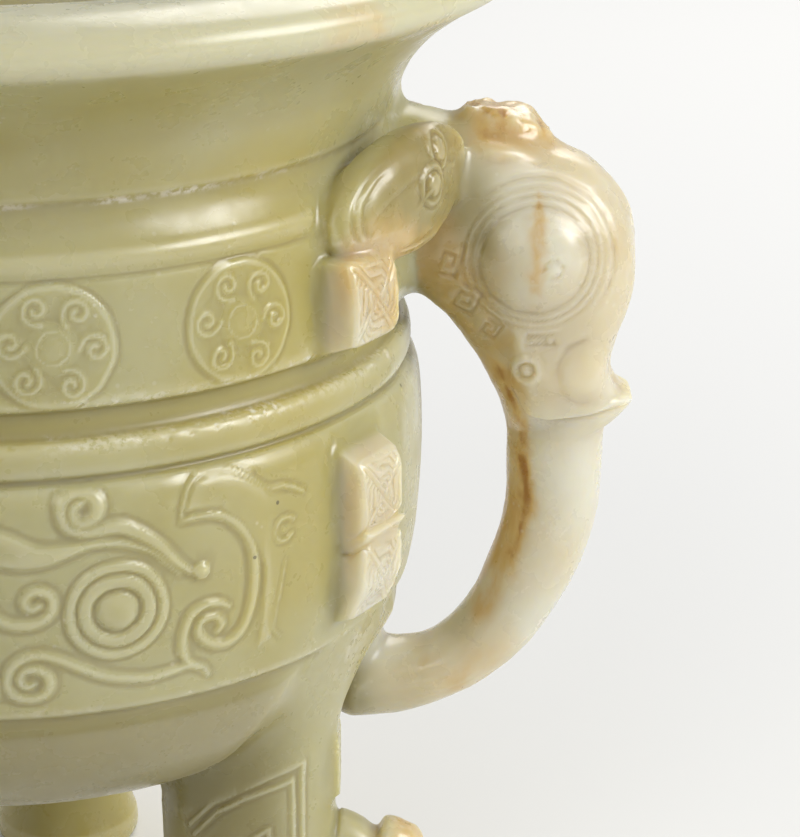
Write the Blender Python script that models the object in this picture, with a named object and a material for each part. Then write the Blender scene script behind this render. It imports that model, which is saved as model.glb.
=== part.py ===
# Jade tripod vessel: a hollow round bowl with a flared lip, two loop handles that
# issue from beast heads, hatched flanges, medallions, low relief and three legs.
# Metres, +Z up, front at -Y, the handles at +X and -X, the feet on z = 0.
import math

import bmesh
import bpy
from mathutils import Matrix, Vector

MM = 0.001

# heights of the zones of the body, from the ground up
bowl_floor = 46.5
bowl_depth = 32.0
relief_tall = 34.0
relief_gap = 3.5
shoulder_tall = 5.8
groove_tall = 5.4
band_tall = 19.8
waist_rise = 6.5
flare_rise = 26.1
lip_swell_rise = 3.8
lip_round_rise = 4.8

# heights above the ground that follow from them
lower_ridge = bowl_floor + bowl_depth
relief_top = lower_ridge + relief_tall
shoulder_foot = relief_top + relief_gap
shoulder_top = shoulder_foot + shoulder_tall
band_foot = shoulder_top + groove_tall
band_top = band_foot + band_tall
waist_height = band_top + waist_rise
flare_height = waist_height + flare_rise
lip_belly_height = flare_height + lip_swell_rise
lip_height = lip_belly_height + lip_round_rise

# outer radii of the body
lower_radius = 65.6
belly_radius = 69.2
shoulder_radius = 66.8
groove_radius = 64.6
band_radius = 66.4
waist_radius = 62.6
flare_radius = 83.0
lip_radius = 86.0
rim_outer_radius = 77.0
ridge_step = 1.2
belly_turn_low = 5.0
belly_turn_high = 15.0
belly_turn_top = 4.0
root_sink = 3.0

# wall
belly_wall = 6.0
neck_wall = 5.6
rim_width = 6.2
floor_wall = 7.0
floor_turn = 8.0
cutter_above = 6.0
inner_round = 0.8
around = 40

# neck medallions and the steps round the neck
steps_round = 14
medallion_radius = 9.6
medallion_rise = 0.9
medallion_rim = 1.1
boss_radius = 3.0
boss_rise = 0.8

# flanges
flange_angle = 58.0
neck_flange_width = 12.6
neck_flange_radius = 73.4
neck_flange_lift = 1.4
neck_flange_tall = 14.2
belly_flange_width = 11.4
belly_flange_radius = 74.2
upper_block_lift = 19.4
upper_block_tall = 14.0
lower_block_lift = 4.2
lower_block_tall = 12.8
block_step = 0.8
notch_depth = 3.2
notch_overlap = 1.6
hatch_depth = 0.7
side_bevel = 0.8

# belly relief, seen on the right half of the beast mask
relief_rise = 1.1
relief_sink = 1.4
line_width = 3.4
eye_angle = 19.4
eye_lift = 16.9
eye_radius = 3.1
eye_ring_radius = 6.6
eye_rise = 2.2

# handles
neck_root_drop = 2.4
neck_root_tall = 27.6
brow_reach = 84.4
brow_drop = 10.7
brow_tall = 37.0
head_width = 26.6
lips_reach = 93.6
lips_height = 105.9
lips_tall = 21.4
lips_width = 20.6
loop_reach = 91.9
lips_to_loop = 6.9
loop_thick = 16.1
loop_width = 15.6
bend_reach = 84.4
bend_height = 67.7
bend_thick = 13.4
bowl_root_lift = 8.5
bowl_root_thick = 13.4
bowl_root_width = 15.0
bowl_root_reach = 50.0
neck_root_height = band_top - neck_root_drop
brow_height = neck_root_height - brow_drop
loop_top = lips_height - lips_to_loop
bowl_root_height = bowl_floor + bowl_root_lift

# beast head
eye_dome_radius = 9.2
eye_dome_reach = 87.0
eye_dome_lift = 1.3
eye_dome_depth = 6.8
nostril_radius = 2.6
nostril_reach = 86.6
nostril_lift = 9.3
ear_half_length = 18.5
ear_half_height = 9.7
ear_half_thick = 5.4
ear_reach = 69.4
ear_spread = 21.0
ear_lift = 4.3
far_ear_drop = 5.0
far_ear_share = 0.86
ear_turn = 53.0
ear_tilt = 5.0
ear_boss_radius = 2.7
crest_width = 13.0
crest_reach = 72.0
crest_long = 18.8
crest_tall = 9.2
crest_lift = 19.1

# legs
leg_spread = 60.0
leg_facing = 90.0
leg_circle = 45.8
leg_radius = 14.8
leg_straight_height = 50.0
leg_flare_radius = 18.9
leg_flare_height = 73.5
leg_waist_radius = 12.0
leg_waist_height = 16.0
foot_radius = 13.6
foot_height = 5.0
foot_round = 1.2
leg_sides = 14
snout_height = 33.6
snout_tall = 12.0
snout_reach = 28.6
snout_width = 10.0
pad_foot = 44.5
pad_tall = 12.5
pad_rise = 0.8
pad_width = 10.8

jade_colour = (0.60, 0.58, 0.40, 1.0)
jade_roughness = 0.25


# Unit vector in the ground plane, degrees from the front towards +X.
def direction(angle):
    a = math.radians(angle)
    return Vector((math.sin(a), -math.cos(a), 0.0))


def around_axis(angle, radius, height):
    return direction(angle) * radius + Vector((0.0, 0.0, height))


# Plain-named mesh helpers

def new_object(name, points, faces):
    mesh = bpy.data.meshes.new(name)
    mesh.from_pydata([tuple(p * MM for p in point) for point in points], [], faces)
    mesh.update()
    item = bpy.data.objects.new(name, mesh)
    bpy.context.scene.collection.objects.link(item)
    check = bmesh.new()
    check.from_mesh(mesh)
    bmesh.ops.recalc_face_normals(check, faces=check.faces)
    check.to_mesh(mesh)
    check.free()
    return item


# Skin a list of equal closed rings and cap both ends.
def closed_rings(name, rings):
    count = len(rings[0])
    points = [point for ring in rings for point in ring]
    faces = []
    for level in range(len(rings) - 1):
        for side in range(count):
            a = level * count + side
            b = level * count + (side + 1) % count
            faces.append((a, b, b + count, a + count))
    faces.append(tuple(range(count - 1, -1, -1)))
    last = (len(rings) - 1) * count
    faces.append(tuple(range(last, last + count)))
    return new_object(name, points, faces)


# Body of revolution about Z; the profile runs from pole to pole on the axis.
def turned(name, profile, sides):
    points = [Vector((0.0, 0.0, profile[0][1]))]
    for radius, height in profile[1:-1]:
        for side in range(sides):
            points.append(around_axis(360.0 * side / sides, radius, height))
    points.append(Vector((0.0, 0.0, profile[-1][1])))
    faces = []
    levels = len(profile) - 2
    for side in range(sides):
        after = (side + 1) % sides
        faces.append((0, 1 + side, 1 + after))
        for level in range(levels - 1):
            a = 1 + level * sides
            faces.append((a + side, a + sides + side, a + sides + after, a + after))
        last = 1 + (levels - 1) * sides
        faces.append((last + side, len(points) - 1, last + after))
    return new_object(name, points, faces)


def unite(body, pieces, operation="UNION"):
    for piece in pieces:
        change = body.modifiers.new("join", "BOOLEAN")
        change.operation = operation
        change.solver = "EXACT"
        change.object = piece
        piece.hide_render = True
        piece.display_type = "WIRE"


# Body

# Outer side of the body from the axis below to the axis above.
def outer_profile():
    profile = [(0.0, bowl_floor)]
    bottom_depth = lower_ridge - bowl_floor
    curve = 2.35
    stages = 5
    for stage in range(1, stages + 1):
        turn = math.radians(90.0 * stage / (stages + 0.6))
        radius = lower_radius * math.sin(turn) ** (2.0 / curve)
        height = lower_ridge - bottom_depth * math.cos(turn) ** (2.0 / curve)
        profile.append((radius, height))
    profile += [
        (lower_radius, lower_ridge - ridge_step),
        (lower_radius + ridge_step, lower_ridge),
        (belly_radius - ridge_step, lower_ridge + belly_turn_low),
        (belly_radius, lower_ridge + belly_turn_high),
        (belly_radius, relief_top - belly_turn_top),
        (belly_radius - ridge_step, relief_top),
        (shoulder_radius, shoulder_foot),
        (shoulder_radius, shoulder_top),
        (groove_radius, shoulder_top + ridge_step),
        (groove_radius, band_foot - ridge_step),
        (band_radius, band_foot),
        (band_radius, band_top),
        (waist_radius + ridge_step, band_top + ridge_step),
    ]
    rise = flare_height - waist_height
    spread = flare_radius - waist_radius
    flare_stages = 4
    for stage in range(flare_stages + 1):
        part = stage / flare_stages
        profile.append((waist_radius + spread * part ** 1.9, waist_height + rise * part))
    shoulder_height = lip_belly_height + (lip_height - lip_belly_height) * 0.66
    profile += [
        (lip_radius, lip_belly_height),
        (lip_radius * 0.6 + rim_outer_radius * 0.4, shoulder_height),
        (rim_outer_radius, lip_height),
        (0.0, lip_height),
    ]
    return profile


# Cavity from its floor up to above the lip.
def inner_profile():
    floor = bowl_floor + floor_wall
    inside = belly_radius - belly_wall
    depth = lower_ridge + floor_turn - floor
    curve = 2.35
    profile = [(0.0, floor)]
    stages = 4
    for stage in range(1, stages + 1):
        turn = math.radians(90.0 * stage / stages)
        radius = inside * math.sin(turn) ** (2.0 / curve)
        height = floor + depth * (1.0 - math.cos(turn) ** (2.0 / curve))
        profile.append((radius, height))
    profile += [
        (inside, relief_top - belly_turn_top),
        (groove_radius - neck_wall, shoulder_top),
        (waist_radius - neck_wall, band_top),
        (waist_radius - neck_wall, waist_height),
    ]
    rise = lip_height - inner_round - waist_height
    spread = rim_outer_radius - rim_width - inner_round - waist_radius + neck_wall
    flare_stages = 3
    for stage in range(1, flare_stages + 1):
        part = stage / flare_stages
        profile.append((waist_radius - neck_wall + spread * part ** 1.9,
                        waist_height + rise * part))
    profile += [
        (rim_outer_radius - rim_width + cutter_above, lip_height + cutter_above),
        (0.0, lip_height + cutter_above),
    ]
    return profile


# Outer radius of the body at a height, read from the outer profile.
def belly_surface(height):
    profile = outer_profile()
    for (r0, z0), (r1, z1) in zip(profile, profile[1:]):
        if z0 <= height <= z1 and z1 > z0:
            return r0 + (r1 - r0) * (height - z0) / (z1 - z0)
    return profile[-2][0]


# Relief on the belly and the neck

# Low ridge along a path of (angle, height) on the body, ends drawn to a blunt tip.
def relief_band(name, path, width, rise=None, taper=0.35):
    rise = relief_rise if rise is None else rise
    rings = []
    for index, (angle, height) in enumerate(path):
        before = path[max(index - 1, 0)]
        after = path[min(index + 1, len(path) - 1)]
        reach = belly_surface(height)
        along = Vector((math.radians(after[0] - before[0]) * reach, after[1] - before[1]))
        along.normalize()
        side = Vector((-along.y, along.x))
        share = index / (len(path) - 1)
        narrow = taper + (1.0 - taper) * min(1.0, 4.0 * share, 4.0 * (1.0 - share))
        half = width * narrow / 2.0
        ring = []
        for offset, lift in ((-half, -relief_sink), (-half * 0.62, rise),
                             (half * 0.62, rise), (half, -relief_sink)):
            spot_angle = angle + math.degrees(side.x * offset / reach)
            spot_height = height + side.y * offset
            ring.append(around_axis(spot_angle, belly_surface(spot_height) + lift, spot_height))
        rings.append(ring)
    return closed_rings(name, rings)


# Ring on the belly about (angle, height), open by the share of a turn that is left out.
def ring_path(angle, height, radius, turns, points):
    path = []
    for index in range(points):
        turn = math.tau * turns * index / (points - 1)
        path.append((angle + math.degrees(radius * math.cos(turn) / belly_radius),
                     height + radius * math.sin(turn)))
    return path


# Smooth path through a few (angle, height) spots.
def arc_path(points, count):
    path = []
    spans = len(points) - 1
    for index in range(count):
        place = spans * index / (count - 1)
        k = min(int(place), spans - 1)
        t = place - k
        p0 = points[max(k - 1, 0)]
        p1 = points[k]
        p2 = points[k + 1]
        p3 = points[min(k + 2, spans)]
        spot = []
        for a, b, c, d in zip(p0, p1, p2, p3):
            spot.append(0.5 * (2.0 * b + (c - a) * t + (2.0 * a - 5.0 * b + 4.0 * c - d) * t * t
                               + (3.0 * b - a - 3.0 * c + d) * t * t * t))
        path.append(tuple(spot))
    return path


# Round boss standing out of the wall, with a raised rim when asked.
def stud(name, angle, height, radius, rise, body_radius, sides, rim=0.0):
    out = direction(angle)
    across = Vector((-out.y, out.x, 0.0)) * -1.0
    centre = out * body_radius + Vector((0.0, 0.0, height))
    steps = [(radius, -relief_sink), (radius, rise * 0.6), (radius - 0.5 * rise, rise)]
    if rim > 0.0:
        steps += [(radius - rim, rise), (radius - rim - 0.5 * rise, rise * 0.25)]
    rings = []
    for size, lift in steps:
        ring = []
        for side in range(sides):
            turn = 2.0 * math.pi * side / sides
            shift = across * (size * math.cos(turn))
            flat = centre + shift + Vector((0.0, 0.0, size * math.sin(turn)))
            sag = body_radius - math.sqrt(max(body_radius ** 2 - (size * math.cos(turn)) ** 2, 1.0))
            ring.append(flat + out * (lift - sag))
        rings.append(ring)
    return closed_rings(name, rings)


# One half of the beast mask: brow, horn, cheek scroll, jaw and nose lines.
def mask_relief(tag, turn, mirror):
    made = []

    # angle from the middle of the mask, share of the height of the relief zone
    def place(spots, count):
        path = arc_path([(angle, lower_ridge + relief_tall * share) for angle, share in spots],
                        count)
        return [(turn + mirror * angle, height) for angle, height in path]

    bands = {
        "brow": (place([(16.0, 1.0), (18.3, 0.94), (23.9, 0.86), (27.4, 0.74), (30.6, 0.63)], 6),
                 line_width * 1.25),
        "upper lid": (place([(4.6, 0.72), (9.0, 0.71), (14.3, 0.78), (20.0, 0.77), (24.5, 0.68),
                             (26.6, 0.54)], 7), line_width),
        "horn": (place([(27.4, 0.885), (30.0, 0.97), (35.0, 0.96), (40.6, 0.91), (46.6, 0.855)],
                       6), line_width),
        "cheek": (place([(28.6, 0.83), (33.0, 0.815), (36.6, 0.71), (38.6, 0.56), (38.4, 0.385),
                         (35.6, 0.23), (31.0, 0.2), (28.4, 0.3), (30.4, 0.4), (33.4, 0.375)],
                        15), line_width * 1.1),
        "jaw": (place([(11.6, 0.3), (16.6, 0.2), (22.0, 0.145), (26.0, 0.17)], 5), line_width),
    }
    for name, (path, width) in bands.items():
        made.append(relief_band(f"{tag} {name}", path, width))
    eye_height = lower_ridge + eye_lift
    made.append(stud(f"{tag} eye", turn + mirror * eye_angle, eye_height, eye_radius, eye_rise,
                     belly_radius, 8))
    lid = [(turn + mirror * angle, height) for angle, height in
           ring_path(eye_angle, eye_height, eye_ring_radius, 0.96, 12)]
    made.append(relief_band(f"{tag} eye ring", lid, line_width * 0.7))
    return made


# Flanges

# Block on the wall whose outer face is cut into four by crossing grooves.
def hatched_block(name, angle, inner, outer, foot, top, width):
    out = direction(angle)
    across = Vector((-out.y, out.x, 0.0)) * -1.0
    half = width / 2.0

    def spot(reach, side, height):
        return out * reach + across * side + Vector((0.0, 0.0, height))

    middle = (foot + top) / 2.0
    rings = []
    for reach, inset in ((inner, 0.0), (outer - side_bevel, 0.0), (outer, side_bevel)):
        low = foot + inset
        high = top - inset
        wide = half - inset
        rings.append([spot(reach, -wide, low), spot(reach, 0.0, low), spot(reach, wide, low),
                      spot(reach, wide, middle), spot(reach, wide, high), spot(reach, 0.0, high),
                      spot(reach, -wide, high), spot(reach, -wide, middle)])
    points = [point for ring in rings for point in ring]
    points.append(spot(outer - 3.0 * hatch_depth, 0.0, middle))
    faces = [tuple(range(7, -1, -1))]
    for level in range(2):
        for side in range(8):
            a = level * 8 + side
            b = level * 8 + (side + 1) % 8
            faces.append((a, b, b + 8, a + 8))
    for side in range(8):
        faces.append((16 + side, 16 + (side + 1) % 8, 24))
    return new_object(name, points, faces)


def flange_set(tag, angle):
    neck_inner = groove_radius - root_sink
    neck_foot = band_foot + neck_flange_lift
    belly_inner = belly_radius - root_sink
    upper_foot = lower_ridge + upper_block_lift
    lower_foot = lower_ridge + lower_block_lift
    lower_top = lower_foot + lower_block_tall
    made = [
        hatched_block(f"{tag} neck flange", angle, neck_inner, neck_flange_radius,
                      neck_foot, neck_foot + neck_flange_tall, neck_flange_width),
        hatched_block(f"{tag} upper block", angle, belly_inner, belly_flange_radius,
                      upper_foot, upper_foot + upper_block_tall, belly_flange_width),
        hatched_block(f"{tag} lower block", angle, belly_inner, belly_flange_radius - block_step,
                      lower_foot, lower_top, belly_flange_width - block_step),
        hatched_block(f"{tag} notch", angle, belly_inner, belly_flange_radius - notch_depth,
                      lower_top - notch_overlap, upper_foot + notch_overlap,
                      belly_flange_width - notch_depth),
    ]
    return made


# Handles

# Axes of a handle: outwards, sideways, up
def handle_frame(mirror):
    return Vector((mirror, 0.0, 0.0)), Vector((0.0, 1.0, 0.0)), Vector((0.0, 0.0, 1.0))


# Rounded ring across a swept form; the turn is the slope of its tall axis in the sweep's plane
def section(centre, turn, half_tall, half_wide, frame, sides, square):
    out, across, up = frame
    slope = math.radians(turn)
    rise = out * math.cos(slope) + up * math.sin(slope)
    ring = []
    for side in range(sides):
        a = 2.0 * math.pi * side / sides
        c = math.cos(a)
        s = math.sin(a)
        x = math.copysign(abs(c) ** (2.0 / square), c) * half_tall
        y = math.copysign(abs(s) ** (2.0 / square), s) * half_wide
        ring.append(out * centre[0] + up * centre[1] + rise * x + across * y)
    return ring


# Spot between two (reach, height) spots, with a share of the way outwards and one of the way up
def between(a, b, out_share, up_share):
    return (a[0] + (b[0] - a[0]) * out_share, a[1] + (b[1] - a[1]) * up_share)


# The handle in one sweep: out of the neck, over the brow, down to the lips, round the loop
# and back into the underside of the bowl
def handle(tag, mirror):
    frame = handle_frame(mirror)
    root = (waist_radius - root_sink, neck_root_height)
    brow = (brow_reach, brow_height)
    lips = (lips_reach, lips_height)
    top = (loop_reach, loop_top)
    bend = (bend_reach, bend_height)
    foot = (bowl_root_reach, bowl_root_height)
    tall = (neck_root_tall / 2.0, brow_tall / 2.0, lips_tall / 2.0)
    wide = head_width / 2.0
    stations = (
        (root, 90.0, tall[0], wide * 0.9),
        (between(root, brow, 0.34, 0.34), 87.0, tall[0] * 1.12, wide * 0.94),
        (between(root, brow, 0.7, 0.7), 80.0, tall[1] * 0.92, wide * 0.98),
        (brow, 67.4, tall[1], wide),
        (between(brow, lips, 0.6, 0.157), 51.7, tall[1] * 0.995, wide),
        (between(brow, lips, 0.9, 0.425), 41.9, tall[1] * 0.88, wide * 0.97),
        (between(brow, lips, 0.93, 0.643), 36.4, tall[1] * 0.74, wide * 0.88),
        (between(brow, lips, 0.85, 0.871), 26.0, tall[2] * 0.95, lips_width / 2.0),
        (lips, 18.3, tall[2], lips_width / 2.0),
        (between(lips, top, 0.1, 0.5), 11.5, tall[2] * 0.92, lips_width * 0.48),
        (top, 8.0, loop_thick * 0.52, loop_width / 2.0),
        (between(top, bend, 0.0, 0.3), 0.0, loop_thick / 2.0, loop_width / 2.0),
        (between(top, bend, 0.34, 0.56), -12.0, loop_thick * 0.49, loop_width * 0.49),
        (bend, -33.0, bend_thick / 2.0, loop_width * 0.48),
        (between(bend, foot, 0.18, 0.58), -52.0, bend_thick * 0.45, loop_width * 0.45),
        (between(bend, foot, 0.39, 0.92), -73.0, bend_thick * 0.44, loop_width * 0.44),
        (between(bend, foot, 0.58, 1.02), -90.0, bowl_root_thick * 0.47, bowl_root_width / 2.0),
        (foot, -94.0, bowl_root_thick / 2.0, bowl_root_width * 0.55),
    )
    rings = []
    for centre, turn, half_tall, half_wide in stations:
        square = 2.5 if centre[1] > loop_top else 2.1
        rings.append(section(centre, turn, half_tall, half_wide, frame, 10, square))
    return closed_rings(f"{tag} sweep", rings)


# Ellipsoid from a centre and three half axes
def rounded_lump(name, centre, axes, sides=10, levels=4):
    first, second, third = axes
    points = [centre - third]
    for level in range(1, levels):
        tilt = math.pi * level / levels
        for side in range(sides):
            turn = 2.0 * math.pi * side / sides
            points.append(centre - third * math.cos(tilt)
                          + (first * math.cos(turn) + second * math.sin(turn)) * math.sin(tilt))
    points.append(centre + third)
    faces = []
    for side in range(sides):
        after = (side + 1) % sides
        faces.append((0, 1 + after, 1 + side))
        for level in range(levels - 2):
            a = 1 + level * sides
            faces.append((a + side, a + after, a + sides + after, a + sides + side))
        last = 1 + (levels - 2) * sides
        faces.append((last + side, last + after, len(points) - 1))
    return new_object(name, points, faces)


# Eyes, nostrils, the ears laid back along the neck, their bosses and the crest
def head_details(tag, mirror):
    out, across, up = handle_frame(mirror)
    made = []
    for side in (1.0, -1.0):
        word = "far" if side > 0 else "near"
        flank = across * side
        eye_spot = (out * eye_dome_reach + up * (brow_height + eye_dome_lift)
                    + flank * eye_dome_depth)
        made.append(rounded_lump(f"{tag} {word} eye", eye_spot,
                                 (out * eye_dome_radius, up * eye_dome_radius,
                                  flank * eye_dome_radius)))
        nose_spot = (out * nostril_reach + up * (lips_height + nostril_lift)
                     + flank * (lips_width / 2.0 - nostril_radius * 0.2))
        made.append(rounded_lump(f"{tag} {word} nostril", nose_spot,
                                 (out * nostril_radius, up * nostril_radius,
                                  flank * nostril_radius), 6, 3))
        spread = math.radians(ear_spread)
        turn = math.radians(ear_turn)
        tilt = math.radians(ear_tilt)
        share = far_ear_share if side > 0 else 1.0
        lower = far_ear_drop if side > 0 else 0.0
        ear_spot = ((out * math.cos(spread) + flank * math.sin(spread)) * ear_reach
                    + up * (neck_root_height + ear_lift - lower))
        level_way = out * math.cos(turn) - flank * math.sin(turn)
        long_way = level_way * math.cos(tilt) + up * math.sin(tilt)
        tall_way = up * math.cos(tilt) - level_way * math.sin(tilt)
        thin_way = (out * math.sin(turn) + flank * math.cos(turn))
        made.append(rounded_lump(f"{tag} {word} ear", ear_spot,
                                 (long_way * ear_half_length * share,
                                  tall_way * ear_half_height * share,
                                  thin_way * ear_half_thick), 12, 5))
        for along, lift, rise in ((0.38, 0.68, 0.55), (0.18, 0.2, 0.8)):
            spot = (ear_spot + long_way * ear_half_length * share * along
                    + tall_way * ear_half_height * share * lift
                    + thin_way * ear_half_thick * rise)
            made.append(rounded_lump(f"{tag} {word} boss {along}", spot,
                                     (long_way * ear_boss_radius, tall_way * ear_boss_radius,
                                      thin_way * ear_boss_radius), 6, 3))
    crest = []
    frame = (out, across, up)
    for along, drop, tall, slope in ((0.0, 0.22, 0.28, 90.0), (0.19, 0.04, 0.43, 90.0),
                                     (0.57, 0.0, 0.5, 84.0), (0.81, 0.3, 0.48, 66.0),
                                     (1.0, 0.72, 0.28, 50.0)):
        centre = (crest_reach + crest_long * along,
                  brow_height + crest_lift - crest_tall * drop)
        crest.append(section(centre, slope, crest_tall * tall, crest_width / 2.0, frame, 8, 3.0))
    made.append(closed_rings(f"{tag} crest", crest))
    return made


# Legs

# Upright column with a waist and a rounded foot, flared into the bowl; on the side that it
# faces a hatched pad and a curled snout
def leg(tag, angle, facing):
    centre = direction(angle) * leg_circle
    levels = (
        (foot_radius - foot_round, 0.0),
        (foot_radius, foot_round),
        (foot_radius, foot_height),
        (leg_waist_radius, leg_waist_height),
        (leg_radius * 0.96, snout_height - snout_tall * 0.7),
        (leg_radius, snout_height),
        (leg_radius, leg_straight_height),
        (leg_radius * 0.55 + leg_flare_radius * 0.45,
         (leg_straight_height + leg_flare_height) / 2.0 + leg_waist_height * 0.2),
        (leg_flare_radius, leg_flare_height),
    )
    rings = []
    for radius, height in levels:
        rings.append([centre + direction(360.0 * side / leg_sides) * radius
                      + Vector((0.0, 0.0, height)) for side in range(leg_sides)])
    column = closed_rings(f"{tag} column", rings)
    out = direction(facing)
    across = Vector((-out.y, out.x, 0.0)) * -1.0
    frame = (out, across, Vector((0.0, 0.0, 1.0)))
    thick = snout_tall / 2.0
    beyond = snout_reach - leg_radius
    curl = []
    for part, lift, turn, tall in ((-0.4, -0.05, 90.0, 1.0), (0.05, -0.02, 90.0, 1.04),
                                   (0.3, 0.02, 84.0, 0.98), (0.52, 0.0, 88.0, 0.8),
                                   (0.78, 0.17, 104.0, 0.84), (0.98, 0.28, 120.0, 0.5)):
        reach = leg_radius + beyond * part
        ring = section((reach, snout_height + snout_tall * lift), turn, thick * tall,
                       snout_width / 2.0, frame, 10, 2.4)
        curl.append([point + centre for point in ring])
    snout = closed_rings(f"{tag} snout", curl)
    pad = hatched_block(f"{tag} pad", facing, leg_radius - root_sink, leg_radius + pad_rise,
                        pad_foot, pad_foot + pad_tall, pad_width)
    pad.data.transform(Matrix.Translation(centre * MM))
    return [column, snout, pad]


def build():
    for item in list(bpy.data.objects):
        bpy.data.objects.remove(item, do_unlink=True)
    vessel = turned("vessel", outer_profile(), around)
    additions = []
    step = 360.0 / steps_round
    for turn in (0.0, 180.0):
        place = "front" if turn == 0.0 else "back"
        for mirror in (1.0, -1.0):
            hand = "right" if mirror > 0 else "left"
            tag = f"{place} {hand}"
            for order in (0.5, 1.5):
                spot = turn + mirror * order * step
                height = (band_foot + band_top) / 2.0
                additions.append(stud(f"{tag} medallion {order}", spot, height, medallion_radius,
                                      medallion_rise, band_radius, 14, medallion_rim))
                additions.append(stud(f"{tag} boss {order}", spot, height, boss_radius,
                                      boss_rise + 0.4, band_radius, 8))
            additions += flange_set(tag, turn + mirror * flange_angle)
            additions += mask_relief(tag, turn, mirror)
    for angle, facing, tag in ((leg_spread, leg_facing, "right leg"),
                               (-leg_spread, -leg_facing, "left leg"),
                               (180.0, 180.0, "back leg")):
        additions += leg(tag, angle, facing)
    for mirror, tag in ((1.0, "right handle"), (-1.0, "left handle")):
        additions.append(handle(tag, mirror))
        additions += head_details(tag, mirror)
    unite(vessel, additions)
    cavity = turned("cavity", inner_profile(), around)
    unite(vessel, [cavity], "DIFFERENCE")
    jade = bpy.data.materials.new("jade")
    jade.use_nodes = True
    shader = jade.node_tree.nodes["Principled BSDF"]
    shader.inputs["Base Color"].default_value = jade_colour
    shader.inputs["Roughness"].default_value = jade_roughness
    shader.inputs["Metallic"].default_value = 0.0
    vessel.data.materials.append(jade)


build()
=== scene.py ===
import math

import bpy
import numpy as np
from mathutils import Matrix, Vector


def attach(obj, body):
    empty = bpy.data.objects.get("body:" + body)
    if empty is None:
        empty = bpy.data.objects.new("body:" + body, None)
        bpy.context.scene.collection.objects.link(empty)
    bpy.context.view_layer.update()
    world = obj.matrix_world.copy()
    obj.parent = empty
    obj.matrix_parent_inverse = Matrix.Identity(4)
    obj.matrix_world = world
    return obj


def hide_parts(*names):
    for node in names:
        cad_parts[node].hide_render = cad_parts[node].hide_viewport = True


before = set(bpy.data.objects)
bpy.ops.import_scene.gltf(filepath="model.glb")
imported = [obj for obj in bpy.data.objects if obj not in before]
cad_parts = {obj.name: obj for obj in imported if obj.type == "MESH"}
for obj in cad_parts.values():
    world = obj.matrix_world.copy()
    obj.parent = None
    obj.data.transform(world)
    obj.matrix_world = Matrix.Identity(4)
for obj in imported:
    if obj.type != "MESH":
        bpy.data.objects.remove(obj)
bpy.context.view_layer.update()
mm = 0.001
fine = 1.0      # share of the full mesh density
print("frame loaded")


view = {
    "stand": (63.3, -450.6, 264.7),      # where the camera stands, mm
    "aim": (65.56, 1.1, 102.3),          # what the middle of the picture looks at
    "lens": 120.4,
    "sensor": 36,
}

lights = {
    # name: (place, aim, width, power, colour), metres and watts
    "key": ((-0.45, -1.05, 0.85), (0, 0, 0.12), 0.9, 3.4, (1, 0.985, 0.96)),
    "right": ((1.15, -0.45, 0.75), (0.05, 0, 0.11), 0.7, 12.5, (0.985, 0.99, 1)),
    "back": ((0.35, 1.05, 0.95), (0, 0, 0.1), 0.9, 8, (1, 0.98, 0.95)),
    "sky": 0.48,
}


def makeView():
    camera = bpy.data.cameras.new("camera")
    camera.lens = view["lens"]
    camera.sensor_width = view["sensor"]
    camera.clip_start = 0.01
    holder = bpy.data.objects.new("camera", camera)
    stand = Vector(view["stand"]) * mm
    aim = Vector(view["aim"]) * mm
    turn = (aim - stand).to_track_quat("-Z", "Y")
    holder.matrix_world = Matrix.Translation(stand) @ turn.to_matrix().to_4x4()
    bpy.context.scene.collection.objects.link(holder)
    bpy.context.scene.camera = holder


def makeLights():
    for name, facts in lights.items():
        if name == "sky":
            continue
        place, aim, width, power, colour = facts
        lamp = bpy.data.lights.new(name, "AREA")
        lamp.shape = "DISK"
        lamp.size = width
        lamp.energy = power
        lamp.color = colour
        holder = bpy.data.objects.new(name, lamp)
        turn = (Vector(aim) - Vector(place)).to_track_quat("-Z", "Y")
        holder.matrix_world = Matrix.Translation(Vector(place)) @ turn.to_matrix().to_4x4()
        bpy.context.scene.collection.objects.link(holder)
    world = bpy.data.worlds.new("soft room")
    world.use_nodes = True
    world.node_tree.nodes["Background"].inputs["Color"].default_value = (0.93, 0.94, 0.95, 1)
    world.node_tree.nodes["Background"].inputs["Strength"].default_value = lights["sky"]
    bpy.context.scene.world = world
    bpy.context.scene.view_settings.view_transform = "Standard"


def makeFloor():
    size = 4.0
    mesh = bpy.data.meshes.new("floor")
    mesh.from_pydata([(-size, -size, 0), (size, -size, 0), (size, size, 0), (-size, size, 0)],
                     [], [(0, 1, 2, 3)])
    floor = bpy.data.objects.new("floor", mesh)
    bpy.context.scene.collection.objects.link(floor)
    paper = bpy.data.materials.new("paper")
    paper.use_nodes = True
    shader = paper.node_tree.nodes["Principled BSDF"]
    shader.inputs["Base Color"].default_value = (0.80, 0.80, 0.79, 1)
    shader.inputs["Roughness"].default_value = 0.85
    mesh.materials.append(paper)


makeView()
makeLights()
makeFloor()
print("view, lights and floor made")


# 0 below low, 1 above high, and three t squared less two t cubed between them
def ease(low, high, value):
    t = np.clip((value - low) / (high - low), 0, 1)
    return t * t * (3.0 - 2.0 * t)


# 1 below low, 0 above high
def fade(low, high, value):
    return 1.0 - ease(low, high, value)


# a bell of that half width about a middle
def bell(value, middle, width):
    return np.exp(-((value - middle) / width) ** 2)


# the value's size raised to a power, its sign kept
def boxy(value, power):
    return np.sign(value) * np.abs(value) ** power


# a round cap: the square root of one less the squared share of its radius, 0 outside
def cap(away, radius):
    return np.sqrt(np.clip(1.0 - (away / radius) ** 2, 0, 1))


# radians of that many equal steps round a ring
def ringTurns(count):
    count = int(count * fine)
    return np.arange(count) * 2.0 * np.pi / count


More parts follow.
